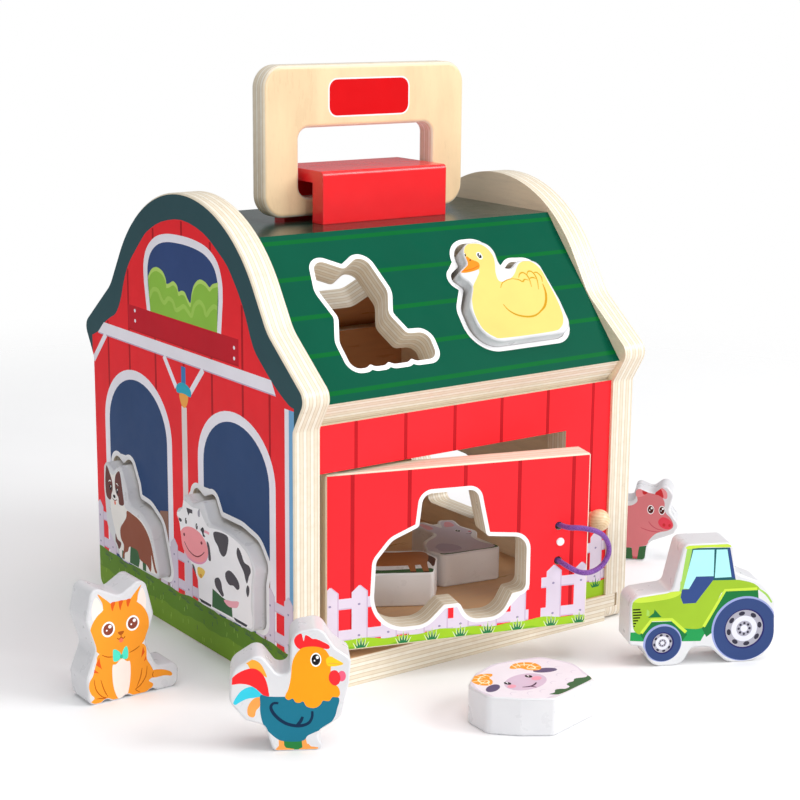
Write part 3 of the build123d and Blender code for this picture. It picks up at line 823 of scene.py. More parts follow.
def gable_art(art, holes):
    roof_foot, window_sill, ground, lamp_foot = 152.0, 173.5, 22, 134.4
    art.bar("roof_band", -130, 0, 130, 260)
    wall = smooth([
        (-107, 149), (-99, 152.5), (-92, 158), (-84, 162.5), (-77, 166), (-71, 174), (-65, 188), (-59, 197),
        (-52, 204), (-45, 210.5), (-38, 216), (-22, 223), (0, 226.4), (22, 222.4), (38, 214), (46, 208.5),
        (52, 202), (57.5, 195), (63, 186), (70, 172), (79, 164), (90, 156), (102, 149.5), (107, 148.5),
    ], 3, closed=False)
    art.fill("barn_red", [(107, 0), *reversed(wall), (-107, 0)])
    for x in (-87, -61.5, -31.5, -0.5, 29, 59.6, 85):
        art.planks((x,), 0, height_at(wall, x) - 0.6, 1.9)
    # The window over its red board, with bushes in front of the sky.
    art.bar("deep_red", -62, 160.5, 56, window_sill)
    art.bar("plank_line", -62, 159.7, 56, 160.5)
    for x, y in ((-54, 171), (-54, 165.4), (51.6, 168.6), (51.6, 163.2)):
        art.dot("trim", x, y, 1.0, steps=10)
    window = smooth([
        (41.0, 190), (40.6, 200), (36, 209.5), (26, 215.4), (12, 217.8), (-3, 218.2), (-18, 217.2),
        (-30, 213.8), (-39, 207), (-42.8, 198), (-42.6, 188),
    ], 4, closed=False)
    art.fill("trim", [(-40, window_sill), (39, window_sill), *window])
    sky = smooth([
        (36.8, 190), (36.2, 199), (32.4, 206.4), (23.6, 211.4), (11, 213.5), (-3, 213.9), (-17, 213),
        (-27.6, 210), (-35, 204.4), (-38.2, 197), (-38.2, 188),
    ], 4, closed=False)
    art.fill("sky", [(-36, window_sill), (35, window_sill), *sky])
    rims = smooth([
        (-37.9, 192.0), (-34, 196.4), (-28, 198.4), (-21.5, 197), (-18, 193.2), (-17.6, 191), (-14.5, 191.6),
        (-10, 193.4), (-6, 191.6), (-4.6, 188.6), (-1.5, 189.6), (2, 189.4), (5, 186.4), (8, 184.6),
        (9.4, 189.6), (12.5, 195), (18, 198.2), (24, 197.6), (28, 195.6), (31, 197.6), (36.6, 199.2),
    ], 3, closed=False)
    for colour, drop in (("bush_rim", 0), ("bush", 2.2)):
        bushes = [(x, y - drop) for x, y in reversed(rims)]
        art.fill(colour, [(35, window_sill), *bushes, (-36, window_sill)])
    clumps = smooth([
        (-36.6, 181), (-33, 185.6), (-27, 186), (-23.4, 182), (-20, 180.4), (-16, 183.4), (-11, 182.6),
        (-8, 178.6), (-4, 179.6), (1, 181.8), (5.4, 179.6), (9, 178), (12, 183.6), (17.4, 186.6), (22, 184.4),
        (24, 180.6), (28, 184), (32, 186.4), (35.4, 186),
    ], 3, closed=False)
    art.line("bush_light", 2.4, clumps, curved=False)
    # The beam at the roof's foot on its struts, the post, the doorways and the lamp between them.
    art.fill("trim", [(-99.5, roof_foot), (90.5, roof_foot), (86.5, 158.6), (-92, 158.6)])
    art.fill("fence_shadow", [(-99.5, 151.3), (91, 151.3), (90.5, roof_foot), (-99.5, roof_foot)])
    for foot, head in (((-106, 135), (-90, 152)), ((-9, 137), (-22, 151.6)), ((6, 137), (20, 151.6))):
        art.line("trim", 3.5, [foot, head])
    art.bar("post", -3.6, ground, 2.0, 128)
    for left, right, top, inner in ((-93.6, -15, 137.4, 5.5), (13, 90, 135.4, 5.8)):
        art.fill("trim", arched(left, right, top, 104, ground))
        art.fill("navy", arched(left + inner, right - inner, top - 5.4, 103, ground))
    art.fill(
        "arch_low", [(-36, 22), (-20.7, 22), (-20.7, 66), (-30, 64)],
        [(76, 22), (84.1, 22), (84.1, 58), (79, 56)],
    )
    art.bar("lamp_cap", -3.4, 140, 1.4, 149.5)
    art.fill("lamp_shade", [(x, max(y, lamp_foot)) for x, y in oval(-1, 136.2, 8.2, 4.6)])
    art.blob("lamp_bulb", [
        (-5.4, lamp_foot), (3.4, lamp_foot), (2.2, 129.4), (-1, 127.4), (-4.2, 129.4),
    ])
    art.bar("trim", 98.6, ground, 102.4, 147)
    art.bar("strip_blue", 102.4, ground, 107, 147)
    art.fence(
        (-103.8, -88.5, -73, -57.5, -42, -27, -15, 0.7, 14.5, 29, 44, 59, 74, 84, 101), -107, 107,
        rails=((26, 31), (42, 46.5)), half=3.7, top=49, peak=52.5,
    )
    art.grass(-120, 120, -2, 23.6, 0.11, "meadow_light")
    art.grass(-120, 120, -2, 12.0, 0.17, "meadow_low")
    for x in (-96, -78, -62, -46, -20, -5, 9, 24, 46, 62, 79, 93):
        art.tuft(x, 20.4, 1.1, "tuft_grey", 0.38)
        art.tuft(x + 4.5, 19.6, 0.8, "tuft_grey", 0.38)
    scatter = random.Random(5)
    for k in range(64):
        x, y = scatter.uniform(-104, 104), scatter.uniform(2.5, 18.5)
        blade = [(x, y), (x + scatter.uniform(-0.8, 0.8), y + 2.4)]
        art.line("meadow_speck" if k % 3 else "tuft_grey", 0.7, blade, taper=0.3, curved=False)
    art.rims(holes, 2.8)


# The red plate on the handle with its pale border, the ridge board, and the prints of the blocks.
# A block's print is measured from the middle of its foot, a lying block's from the same place on it.
handle_art, ridge_art = Art(), Art()
handle_art.fill("white", rounded(1.4, 61.8, 52.8, 20.6, 5.6))
handle_art.fill("plate_red", rounded(1.4, 61.8, 51.2, 19.0, 4.9))
ridge_art.bar("ridge_green", -120, -60, 120, 60)
block_arts = {animal: Art() for animal in block_faces}

art = block_arts["cat"]
art.blob("cat_orange", [
    (-15.2, 26), (-17, 22), (-18.3, 18), (-19.2, 15.2), (-21, 12.5), (-21.4, 9.2), (-20.3, 6), (-18.6, 3.6),
    (-20.9, 1.8), (-19.5, 0.5), (-13, 0.2), (-6.2, 0.3), (-3, 0.6), (-1, 0.3), (6, 0.4), (11, 1.2), (13.4, 3),
    (13.2, 4.4), (11.2, 6.2), (13.4, 7.8), (14, 10.4), (12.2, 14.5), (10.4, 18), (9, 26), (-3, 28),
], [(13, 11), (18, 10.7), (22.4, 9.0), (24.3, 7.2), (23.6, 6.1), (20, 7), (13, 7.4)])
art.line("cat_line", 0.4, [(13.9, 10.3), (13.3, 8.8), (13.8, 7.4)])
art.blob("cat_orange", [
    (-8.5, 50.7), (-4, 51.1), (1.5, 50.7), (5.5, 48.8), (9, 45.5), (11.4, 41), (12, 36), (10.9, 31),
    (8.4, 27), (5, 24.6), (-3.5, 22.6), (-10, 23.2), (-14.6, 25.4), (-18, 29), (-19.8, 33), (-20.1, 37.5),
    (-18.6, 42), (-15.5, 46), (-12.2, 48.8),
])
art.blob(
    "cat_belly", [(-18.2, 43.6), (-18.6, 50), (-16.4, 55.2), (-13.6, 51), (-12.6, 48.2), (-15.6, 45.8)],
    [(10.2, 44.4), (10.6, 50), (8.7, 55.4), (6.4, 51.5), (5.9, 48.8), (8.4, 46.4)],
)
art.blob(
    "cat_orange", [(-12.4, 48), (-13, 51.5), (-15.4, 56.6), (-12.2, 54), (-8.4, 50.2), (-9.4, 48.4)],
    [(1.8, 50.2), (5, 54), (8.3, 57), (6.5, 53), (5.7, 49), (3.4, 48.6)],
)
for x, foot in ((-7.4, 46.5), (-3.2, 46.1), (1.0, 47)):
    art.blob("cat_stripe", [
        (x - 0.9, 50.9), (x + 1.4, 50.9), (x + 0.5, 48.4), (x - 0.2, foot), (x - 0.9, 48.4),
    ], steps=3)
art.eye(-10.2, 37.6, 2.7, 3.0, 1.32, "eye_brown")
art.eye(3.1, 38.2, 2.7, 3.0, 1.32, "eye_brown")
art.blob("nose_brown", [
    (-5.1, 35.1), (-3.4, 35.3), (-1.7, 35.1), (-2.4, 33.8), (-3.4, 33.3), (-4.4, 33.8),
], steps=3)
art.dot("tongue", -3.4, 30.7, 1.2, 1.3, steps=16)
art.line("nose_brown", 0.5, [(-3.4, 33.6), (-3.4, 32.2)])
art.line("nose_brown", 0.55, [(-5.6, 32.2), (-4.6, 31.4), (-3.4, 32.1), (-2.2, 31.4), (-1.2, 32.2)])
art.line(
    "cat_line", 0.55, [(-14, 25.1), (-11, 23.5), (-7.5, 22.9)], [(0.8, 23.2), (4, 24.2), (6.6, 25.6)],
    [(-18.6, 13.5), (-17.7, 8), (-15, 4), (-12.2, 2.5)], [(-15, 12.5), (-13.4, 7), (-11.4, 2.9)],
    [(-17.6, 3.1), (-15, 2.8), (-12.8, 2.2), (-14.2, 0.7)], [(7.6, 13.7), (6.6, 9), (4.4, 4.4)],
    [(10.4, 14.2), (9.6, 9), (6.6, 5), (3.8, 3.3), (6.2, 1.2)], taper=0.5,
)
art.fill(
    "cat_stripe", [(-15.4, 24.4), (-17.3, 20.7), (-14.2, 17.8), (-15, 21)],
    [(-18.2, 18.6), (-18.6, 16.8), (-15.8, 16.1)], [(8.4, 24.9), (9.3, 21.7), (7.2, 19), (7.8, 22)],
    [(9.8, 19.7), (10, 17.6), (8.7, 16.9)],
)
art.blob("cat_belly", [
    (-3.5, 21), (-6.5, 18.8), (-8.3, 18.6), (-8.7, 14), (-8.3, 8), (-7, 3), (-5.4, 0.5), (-1.8, 0.5),
    (-0.3, 3), (0.8, 8), (1.3, 14), (1, 18.6), (-0.6, 19.1),
])
art.blob(
    "bow", [(-3.7, 22.9), (-4.6, 25), (-7.6, 26.8), (-8.1, 24), (-7.8, 20.6), (-5.6, 20.2), (-3.8, 21.6)],
    [(-3.3, 22.9), (-2.3, 25.6), (-0.6, 27), (0.3, 24), (-0.2, 20.6), (-2.2, 20.5), (-3.4, 21.6)], steps=3,
)
art.dot("bow_dark", -3.5, 22.2, 0.8, 1.1, steps=12)

art = block_arts["rooster"]
art.blob("hen_shade", [
    (-23.6, 44.4), (-20, 45.3), (-17, 43.7), (-15, 40.5), (-13.8, 36.5), (-18, 40), (-21, 40.8), (-22.4, 43),
])
art.blob("hen_foot", [
    (-16.6, 27), (-19.5, 26.5), (-21.8, 24), (-22.8, 21), (-22.4, 18.3), (-20.5, 17.2), (-19.3, 18),
    (-18.7, 20.5), (-16.8, 23),
])
art.blob("hen_cyan", [
    (-29.1, 24.4), (-28, 27), (-25.5, 30.3), (-22, 32.1), (-18.6, 31.8), (-15.5, 29.8), (-15.2, 27.6),
    (-19, 26.9), (-23, 26.3), (-26.3, 24.7), (-28, 23.6),
])
art.blob("hen_red", [
    (-30.2, 33.6), (-29.6, 36.5), (-26.5, 39.2), (-22, 41), (-18.5, 40.7), (-15.5, 38), (-13.8, 34),
    (-13, 30), (-12.9, 27.2), (-15.5, 28), (-18.5, 31), (-22, 33.1), (-26, 33.8),
])
for x, lean in ((-7.2, 0.0), (3.4, 1.4)):
    art.fill("hen_foot", [
        (x - 1.3 - lean / 2, 6), (x + 1.3 - lean / 2, 6), (x + 1.1 + lean / 2, 0.8),
        (x - 1.3 + lean / 2, 0.8),
    ])
art.fill("leaf", [(-6.2, 6.4), (2, 6.6), (2.5, 1.1), (0.2, 0.2), (-5.8, 0.6)])
art.fill(
    "hen_foot",
    [(-11.8, 0.15), (-9.6, 1.5), (-8.2, 3.2), (-6.2, 3.2), (-5.2, 1.7), (-1.4, 1.0), (-1.4, 0.15)],
    [(0.4, 0.15), (1.0, 1.0), (2.6, 1.7), (3.2, 3.4), (5.2, 3.4), (6.4, 2.0), (9.7, 1.5), (9.7, 0.15)],
)
art.blob("hen_body", [
    (-16.6, 28), (-12.8, 27.2), (-5.5, 26.9), (6, 27), (18.6, 26.2), (18.4, 20), (16.8, 15.2), (13.5, 11.4),
    (9.5, 9.5), (5, 7.4), (3.4, 5.3), (0, 4.6), (-6, 5), (-9, 6.1), (-13, 9.8), (-15.5, 13.5), (-16.8, 19),
    (-16.9, 24),
])
art.line(
    "hen_line", 1.6,
    [
        (-8.5, 23.8), (-10.8, 23.8), (-12, 22), (-11, 19.2), (-8.5, 16.2), (-5, 13.7), (-1, 12.5),
        (2.5, 12.5), (5.5, 13.8), (6.9, 16.5), (7, 19.4),
    ],
    [(0, 12.8), (1.5, 14.4), (2.6, 16.8)], taper=0.3,
)
art.blob("hen_red", [
    (1.5, 49.8), (-0.6, 51.8), (-1.2, 54.5), (0.2, 56.6), (2.1, 57.3), (2.7, 55.4), (3.2, 53.6), (3.9, 56.4),
    (5.4, 56), (7.2, 54.7), (9, 54.5), (12.3, 52.9), (14.8, 51.2), (14.5, 49.6), (10.5, 50), (5, 50),
], steps=4)
art.blob("hen_orange", [
    (-5.3, 26.3), (-3.8, 25.2), (-2, 25.9), (-0.6, 24), (1.2, 23.7), (2.9, 24.3), (4.2, 22), (6.5, 21),
    (9, 21.2), (10.9, 22.7), (11.9, 24.4), (13.5, 24.2), (15, 24.3), (16.2, 26), (17.4, 26), (19, 26),
    (19.8, 27.7), (19.2, 30.4), (17.2, 33), (15.6, 37), (15.6, 41), (15.6, 44), (14.6, 46.8), (12.6, 49.5),
    (9, 50.8), (4, 50.8), (1.2, 49.5), (-1.2, 46), (-2.3, 42), (-2.8, 36), (-4, 30.5), (-5.2, 28),
], steps=4)
art.blob("hen_beak", [
    (13.4, 44.8), (15.5, 46), (17.5, 44.8), (20.2, 43.2), (21.3, 42.1), (19.5, 41.4), (15.5, 41), (13.8, 42),
], steps=3)
art.line("hen_shade", 0.45, [(14.2, 42.6), (17, 42.4), (20.8, 42)], taper=0.4)
art.dot("hen_pink", 20.6, 36.2, 1.9, 2.6)
art.blob("hen_wattle", [
    (14.9, 37.5), (16.2, 39), (18.4, 38.8), (19.9, 36), (19.5, 33), (17.5, 31.6), (15.4, 33), (14.6, 35.2),
])
art.eye(8.7, 44.5, 2.0, 2.7, 1.25)

art = block_arts["tractor"]
art.fill(
    "green_mid", [(-39.8, 19.6), (-33, 19.6), (-31, 14.2), (-39.6, 15)],
    [(-10.6, 21), (5, 21), (1, 17), (-1.2, 12.9), (-12, 13.3)],
)
art.fill(
    "green_deep", [(-34.2, 18.2), (-28.4, 24.8), (-17, 24.6), (-8.6, 17), (-12, 12.4), (-30, 12.2)],
    [(-1, 20.4), (10.3, 39.6), (28.8, 39.4), (29.3, 35), (24, 30), (6, 18), (1.8, 15)],
)
art.blob("lime", [
    (-38.7, 36), (-38.8, 30), (-38.2, 24), (-37.2, 20.3), (-34, 18.3), (-31.4, 22), (-28.6, 25.8),
    (-22, 26.0), (-17, 25.4), (-12.5, 21.4), (-10.3, 20.4), (-0.8, 20.1), (3, 27), (6.8, 34), (10.3, 40),
    (20, 40), (28.5, 39.4), (29.6, 40.4), (26, 43.3), (20, 45.1), (16, 45.7), (4.2, 46), (0, 45), (-5, 40.5),
    (-13, 41), (-20, 40.2), (-30, 39.6), (-36, 38.8),
], steps=3)
art.fill("lime", [(-5, 34), (5, 46.2), (-13.6, 46), (-13.6, 34)])
art.blob("lime_light", [
    (-38.4, 36.2), (-36.5, 38.7), (-28, 39.6), (-14, 40.9), (-14, 38.7), (-20, 36.8), (-32, 35.6),
])
art.fill("lime_pale", [(-13.9, 40.8), (-10.7, 64.4), (-7.2, 64.4), (-11.2, 41)])
art.fill("frame_teal", [
    (-7.9, 63.9), (12.3, 63.4), (16.3, 45.6), (4, 45.9), (-8, 46), (-12.4, 41.6), (-11.4, 41.6),
])
art.fill(
    "glass", [(-7.4, 62.9), (3.9, 62.6), (4.2, 48.2), (-5, 48.4), (-8.8, 41.9), (-11.8, 42.2)],
    [(5.1, 62.5), (10.9, 62.4), (13.9, 47.3), (4.9, 47.2)],
)
art.fill("frame_blue", [(11.1, 62.9), (12.5, 62.9), (16.1, 46.3), (14.1, 46.9)])
art.blob("lime_light", [
    (-10.9, 63.6), (-10.7, 65.6), (-4, 66.3), (6, 66.3), (11.6, 65.4), (12.4, 63.6), (0, 64),
], steps=3)
art.fill("frame_blue", [
    (-12.5, 41.8), (-8.9, 41.7), (-5.2, 48.4), (4.3, 48.0), (4.1, 46.1), (-4.8, 34), (-11.6, 33.9),
    (-13.1, 37.5),
])
art.line("lime_light", 1.7, [(-33.4, 18.9), (-28.2, 25.9), (-17.3, 25.6), (-9.3, 18.2)], curved=False)
art.line("lime_light", 1.6, [(0.1, 20.7), (10.9, 40.2), (28.2, 40.2)], curved=False)
art.line("lime_pale", 1.1, [(29.4, 39.9), (33.6, 36.6), (36.7, 32.2)], taper=0.3)
art.fill("green_deep", [(-26.8, 31.6), (-22.9, 27.2), (-30.2, 27.2), (-27.2, 29.6)])
art.fill("lime_pale", [(-31, 31.8), (-29.6, 30.8), (-29.4, 28.2), (-31, 28.2)])
for k, (left, right) in enumerate((
    (-38.4, -34.4), (-38.4, -33.8), (-38.3, -33.6), (-38.2, -34.4), (-38.1, -35.4), (-38, -36.4),
    (-37.9, -37),
)):
    art.bar("grille", left, 31.5 - 1.5 * k, right, 32.3 - 1.5 * k)
art.wheel(-21.8, 12.9, 10.4, 5.3)
art.wheel(22.3, 18.6, 17.8, 10.2)

art = block_arts["pig"]
art.fill("meadow", [
    (-29, 9), (-20, 8), (-4, 8), (6.2, 8), (15.2, 10), (14.2, 0.6), (3, 0.6), (-10, 0.6), (-29, 0.6),
])
art.line("pig_line", 1.0, [(-31.5, 25), (-33, 28), (-30.6, 30.2), (-29.2, 27.6), (-31.8, 26.6)])
for x in (-25.5, -14.0, 8.0):
    art.blob("pig_pink", [
        (x - 2.4, 12), (x + 2.4, 12), (x + 1.9, 6), (x + 1.3, 2.2), (x - 1.3, 2.2), (x - 1.9, 6),
    ], steps=3)
    art.bar("pig_line", x - 1.4, 1.1, x + 1.4, 2.4)
art.blob("pig_pink", [
    (-31, 12), (-32.4, 20), (-30.5, 28), (-25, 33.6), (-16, 35.6), (-4, 35.2), (4, 34.8), (8, 37.6), (8, 41),
    (11, 44), (17, 43.2), (22, 42.4), (24.6, 38), (24.6, 34), (26, 31), (28.6, 28.4), (30.3, 25), (30, 22.3),
    (27, 20.3), (22, 18.9), (18.8, 16.8), (15.8, 13), (15, 10.4), (6, 8.2), (-8, 7.6), (-22, 8),
])
art.blob("pig_light", [
    (4.6, 45.8), (8.6, 47.7), (11.8, 46), (14, 43.6), (12, 41.6), (8, 40.4), (6.2, 43),
], steps=3)
art.blob("pig_ear", [(11.4, 45.9), (14.2, 43.7), (12.2, 42.2), (11, 43.4)], steps=3)
art.blob("pig_light", [
    (18.8, 43.4), (20.8, 46.9), (23.4, 46.8), (25.8, 44.4), (26, 41), (24.4, 40.4), (21, 42),
], steps=3)
art.blob("pig_ear", [(18.6, 43), (20.6, 46.6), (22.6, 45.6), (23.8, 41), (20.6, 42.4)], steps=3)
art.eye(16.4, 33, 1.75, 2.4, 1.2, "eye_deep")
art.eye(23.2, 33, 1.6, 2.4, 1.2, "eye_deep")
art.blob("pig_snout", [
    (21.3, 26.2), (23.6, 28.7), (27, 28), (29.6, 25.6), (30, 23.2), (28, 21.4), (24.6, 21.6), (22, 23.4),
])
art.dot("pig_ear", 24.8, 23.8, 0.9, 1.1, steps=12)
art.dot("pig_ear", 28.2, 23.7, 0.8, 1.0, steps=12)
art.line(
    "pig_line", 0.6, [(15.4, 25.4), (17.6, 22.8), (20.8, 21), (24.4, 20.4)],
    [(10.8, 21.2), (15, 19.8), (19, 19.2), (22.6, 19.2)], taper=0.4,
)

art = block_arts["sheep"]
art.blob("fleece_line", [
    (-17, 3.4), (-23, 10), (-25, 14), (-30.2, 20), (-29.8, 27), (-29, 32), (-26.4, 38), (-22, 43.4),
    (-14, 46.6), (-6, 47.6), (2, 48.4), (10, 46), (18, 42.2), (25.6, 37), (28.2, 30), (29.6, 22), (28, 15),
    (24, 9), (20.4, 3), (2, 2.2),
])
art.blob("fleece", [
    (-16.6, 4.4), (-22, 10), (-24.2, 14.4), (-29.2, 20), (-28.4, 27), (-28, 32), (-25.4, 37.4), (-21, 42.4),
    (-14, 45.4), (-6, 46.6), (2, 47.2), (9.4, 45), (17.4, 41.2), (24.6, 36.2), (27.2, 30), (28.4, 22),
    (27, 15.6), (23, 9.6), (19.6, 4), (2, 3.2),
])
for x, y in (
    (14, 16), (21, 22), (17, 32.5), (4, 12), (-8, 9.5), (-20, 18), (22, 13), (-14, 12.5), (12, 9), (24.2, 29),
):
    art.line("fleece_line", 0.5, [
        (x - 2.2, y), (x - 1.4, y + 1.6), (x + 0.6, y + 1.9), (x + 2.0, y + 0.6),
    ], taper=0.5)
art.dot("sheep_ear", -21.6, 29.8, 5.3, 2.9, 14)
art.dot("sheep_ear", 13.8, 25.2, 6.2, 2.9, -34)
art.dot("sheep_face", -4.6, 23.2, 12.4, 8.7)
horn = Art()
horn.blob("horn", [
    (7.6, 0.6), (4, 4.6), (-1, 5.6), (-6.2, 3.4), (-8, -1.6), (-6.4, -5.6), (-3.4, -6.4), (0.4, -4.4),
    (2.6, -1.4), (5.8, -1.2),
])
horn.line("horn_light", 0.9, [
    (4.6, 1.6), (1, 2.6), (-3.4, 1.2), (-4.8, -2.4), (-2.8, -4.2), (-0.6, -2.4), (-1.8, -0.6),
], taper=0.5)
horn.line(
    "horn_light", 1.0, [(4.2, -0.8), (5.0, 3.9)], [(1.9, 0.4), (1.6, 5.5)], [(-0.4, 0.6), (-2.4, 5.4)],
    [(-1.8, -0.4), (-6.6, 2.7)], [(-2.4, -2.0), (-7.9, -1.8)], [(-2.6, -3.2), (-5.4, -6.2)],
    taper=0.5, curved=False,
)
art.stamp(horn, -15.2, 40.2, 8)
art.stamp(horn, 10.6, 35.6, -28, flip=-1)
art.dot("sheep_cheek", -13.6, 24.6, 2.4, 1.9)
art.dot("sheep_cheek", 2.6, 22, 2.9, 2.3)
art.eye(-12, 28.4, 1.5, 2.0, 1.0)
art.eye(2.0, 26.4, 1.6, 2.0, 1.0)
art.line("smile", 1.1, [(-11, 20.2), (-8.4, 18.4), (-5.4, 17.8), (-1.8, 18.8)], taper=0.4)
art.line("smile", 0.9, [(-7.6, 18.2), (-7.0, 16.6), (-6.6, 15.2)], taper=0.3)
art.blob("meadow", [
    (-9.4, 5.6), (-6, 4.9), (-3, 6.7), (-0.4, 5.4), (1.4, 3.8), (4.8, 3.9), (6, 6.6), (9, 7.2), (11.6, 6.6),
    (14.4, 8), (17.2, 6.8), (20, 5.2), (22.2, 5.8), (21.4, 3.4), (18.8, 1.6), (8, 1.4), (-5, 1.7), (-8, 3.4),
], steps=3)

art = block_arts["duck"]
art.blob("duck_yellow", [
    (-17.8, 58.2), (-11, 59.4), (-5, 58.4), (-1.6, 55), (-0.4, 50), (-1.8, 45), (-3.8, 40), (-4, 35.4),
    (-0.6, 34.6), (4, 36), (8, 38.4), (13.6, 44), (19.5, 45.6), (24, 43.6), (26.8, 38.6), (27.2, 32),
    (27.8, 24), (27.6, 15), (26, 8), (21.6, 3.2), (14, 1.6), (-17, 1.6), (-23, 3), (-27.6, 7.8), (-28.8, 14),
    (-28.4, 20), (-26, 27), (-22, 33.6), (-17, 38.6), (-13.6, 42.6), (-16, 46), (-19.4, 50), (-20, 54.6),
])
art.blob("duck_beak", [
    (-27.2, 43.9), (-25, 46.4), (-20, 48.8), (-17.4, 52), (-15.4, 50), (-11.6, 47.4), (-13, 44), (-18, 42.6),
    (-24, 42.3),
])
art.line("duck_beak_low", 0.6, [(-26.6, 43.8), (-22, 43.6), (-17, 44.2), (-12.6, 45.6)], taper=0.4)
art.dot("black", -16.2, 49.5, 0.6, 0.4, 30, steps=10)
art.eye(-9, 51.6, 1.3, 1.7, 1.35)
art.eye(-18, 53.2, 0.75, 1.15, 1.0)
art.line("duck_line", 1.15, [
    (-8.2, 21.2), (-6.6, 17.4), (-3, 14.2), (2, 12.4), (7, 12.0), (12, 13.4), (17, 16.4),
], taper=0.6)
art.line("duck_line_deep", 1.4, [(11, 13.0), (17, 16.4), (20.6, 20.6), (22.8, 25.6), (23.4, 30.6)], taper=0.6)
art.line("duck_line", 0.6, [(-5, 31), (-2.4, 33.8), (2, 35.4), (6, 35.6)], taper=0.4)
art.line(
    "duck_line", 0.9, [(5.6, 35.6), (9, 34.6), (11, 33.2), (13, 34.4), (15.4, 33.6)],
    [(9.6, 35.8), (11.4, 38), (14, 38.6), (15.8, 36.6), (16, 33.6), (15.2, 29.4)],
    [(15.6, 36.6), (17.4, 38.8), (19.6, 38.8), (21, 36.4), (20.8, 32.6), (19, 27.4)],
    [(20.6, 37.6), (23, 37.8), (24.6, 35), (23.8, 31.6)], [(16.4, 34.6), (18.6, 35.0), (20.6, 34.2)],
    taper=0.6,
)

art = block_arts["dog"]
art.blob("dog_white", [
    (-30.6, 33), (-25.4, 31.6), (-24.6, 26), (-22.4, 20), (-20, 15), (-18, 10.6), (-15.5, 8), (-13.6, 1.2),
    (-2, 1), (10, 1), (22, 2), (29, 3.4), (26, 12), (20.5, 23), (12, 29), (-4.6, 31), (-8.2, 34), (-10.4, 44),
    (-13, 51), (-17, 49.6), (-20.6, 47.4), (-24.6, 48), (-28.4, 51.4), (-30.6, 46),
], steps=4)
art.fill(
    "meadow", [(-1.4, 11.6), (9.4, 10.6), (9, 4.6), (7.6, 0.9), (-2.8, 0.9), (-2.4, 5)],
    [(12.4, 6.4), (16.6, 6), (16.4, 0.9), (12.6, 0.9)], [(-12, 5.6), (-9, 5.6), (-9.2, 0.9), (-12.4, 0.9)],
)
art.blob("dog_brown", [
    (-4.9, 30.4), (2, 30), (9, 28.9), (15, 26.4), (20, 22.4), (23.4, 17.4), (25.5, 12), (27.6, 6.6),
    (29.2, 3.8), (27.2, 3.2), (25.3, 6), (23.8, 9.6), (22.9, 12), (22.8, 6), (21.6, 2.2), (18.6, 4.2),
    (15.8, 5.2), (12, 5.4), (9, 6.4), (7, 10), (2, 10.6), (-3, 10), (-5, 6.8), (-8.5, 5), (-9.4, 2.4),
    (-11, 1.2), (-11.4, 3), (-10.2, 6), (-9.9, 9.5), (-12.8, 12), (-13.8, 15.5), (-12.9, 19), (-9, 22.9),
    (-5.8, 26.6),
], steps=4)
art.blob(
    "dog_dark",
    [
        (-28.6, 51.2), (-24.6, 47.2), (-22, 42.6), (-21.8, 38.5), (-23.4, 35.6), (-24, 32.8), (-26.2, 31.8),
        (-29.6, 33.2), (-30.6, 38), (-30.4, 45),
    ],
    [
        (-13, 51.2), (-16.5, 49.4), (-18.5, 46), (-18.8, 41), (-17.4, 37.4), (-15, 35.6), (-14.4, 32.2),
        (-11.5, 31.8), (-8.3, 33.3), (-9, 38), (-10.2, 43), (-11.4, 48),
    ],
)
art.eye(-24.4, 39.4, 1.4, 1.7, 1.0, "black")
art.eye(-16.4, 39.2, 1.3, 1.7, 1.0, "black")
art.line(
    "dog_white", 0.6, [(-26.6, 42.2), (-25.2, 43.2), (-23.6, 43)], [(-17.6, 43), (-16, 43.2), (-14.6, 42.2)],
    taper=0.4,
)
art.dot("black", -20, 35.1, 1.5, 1.0, steps=14)
art.line("eye_deep", 0.5, [(-22.4, 33.6), (-20.4, 32.8), (-18.6, 33), (-16.8, 34)], taper=0.3)
art.dot("tongue", -19.2, 31.6, 1.0, 1.3, steps=14)
art.blob("dog_dark", [
    (-19.6, 13.6), (-17.4, 10.7), (-13.2, 9.8), (-13.6, 7.4), (-16, 5.2), (-18, 7.6), (-19.8, 9.2),
], steps=3)

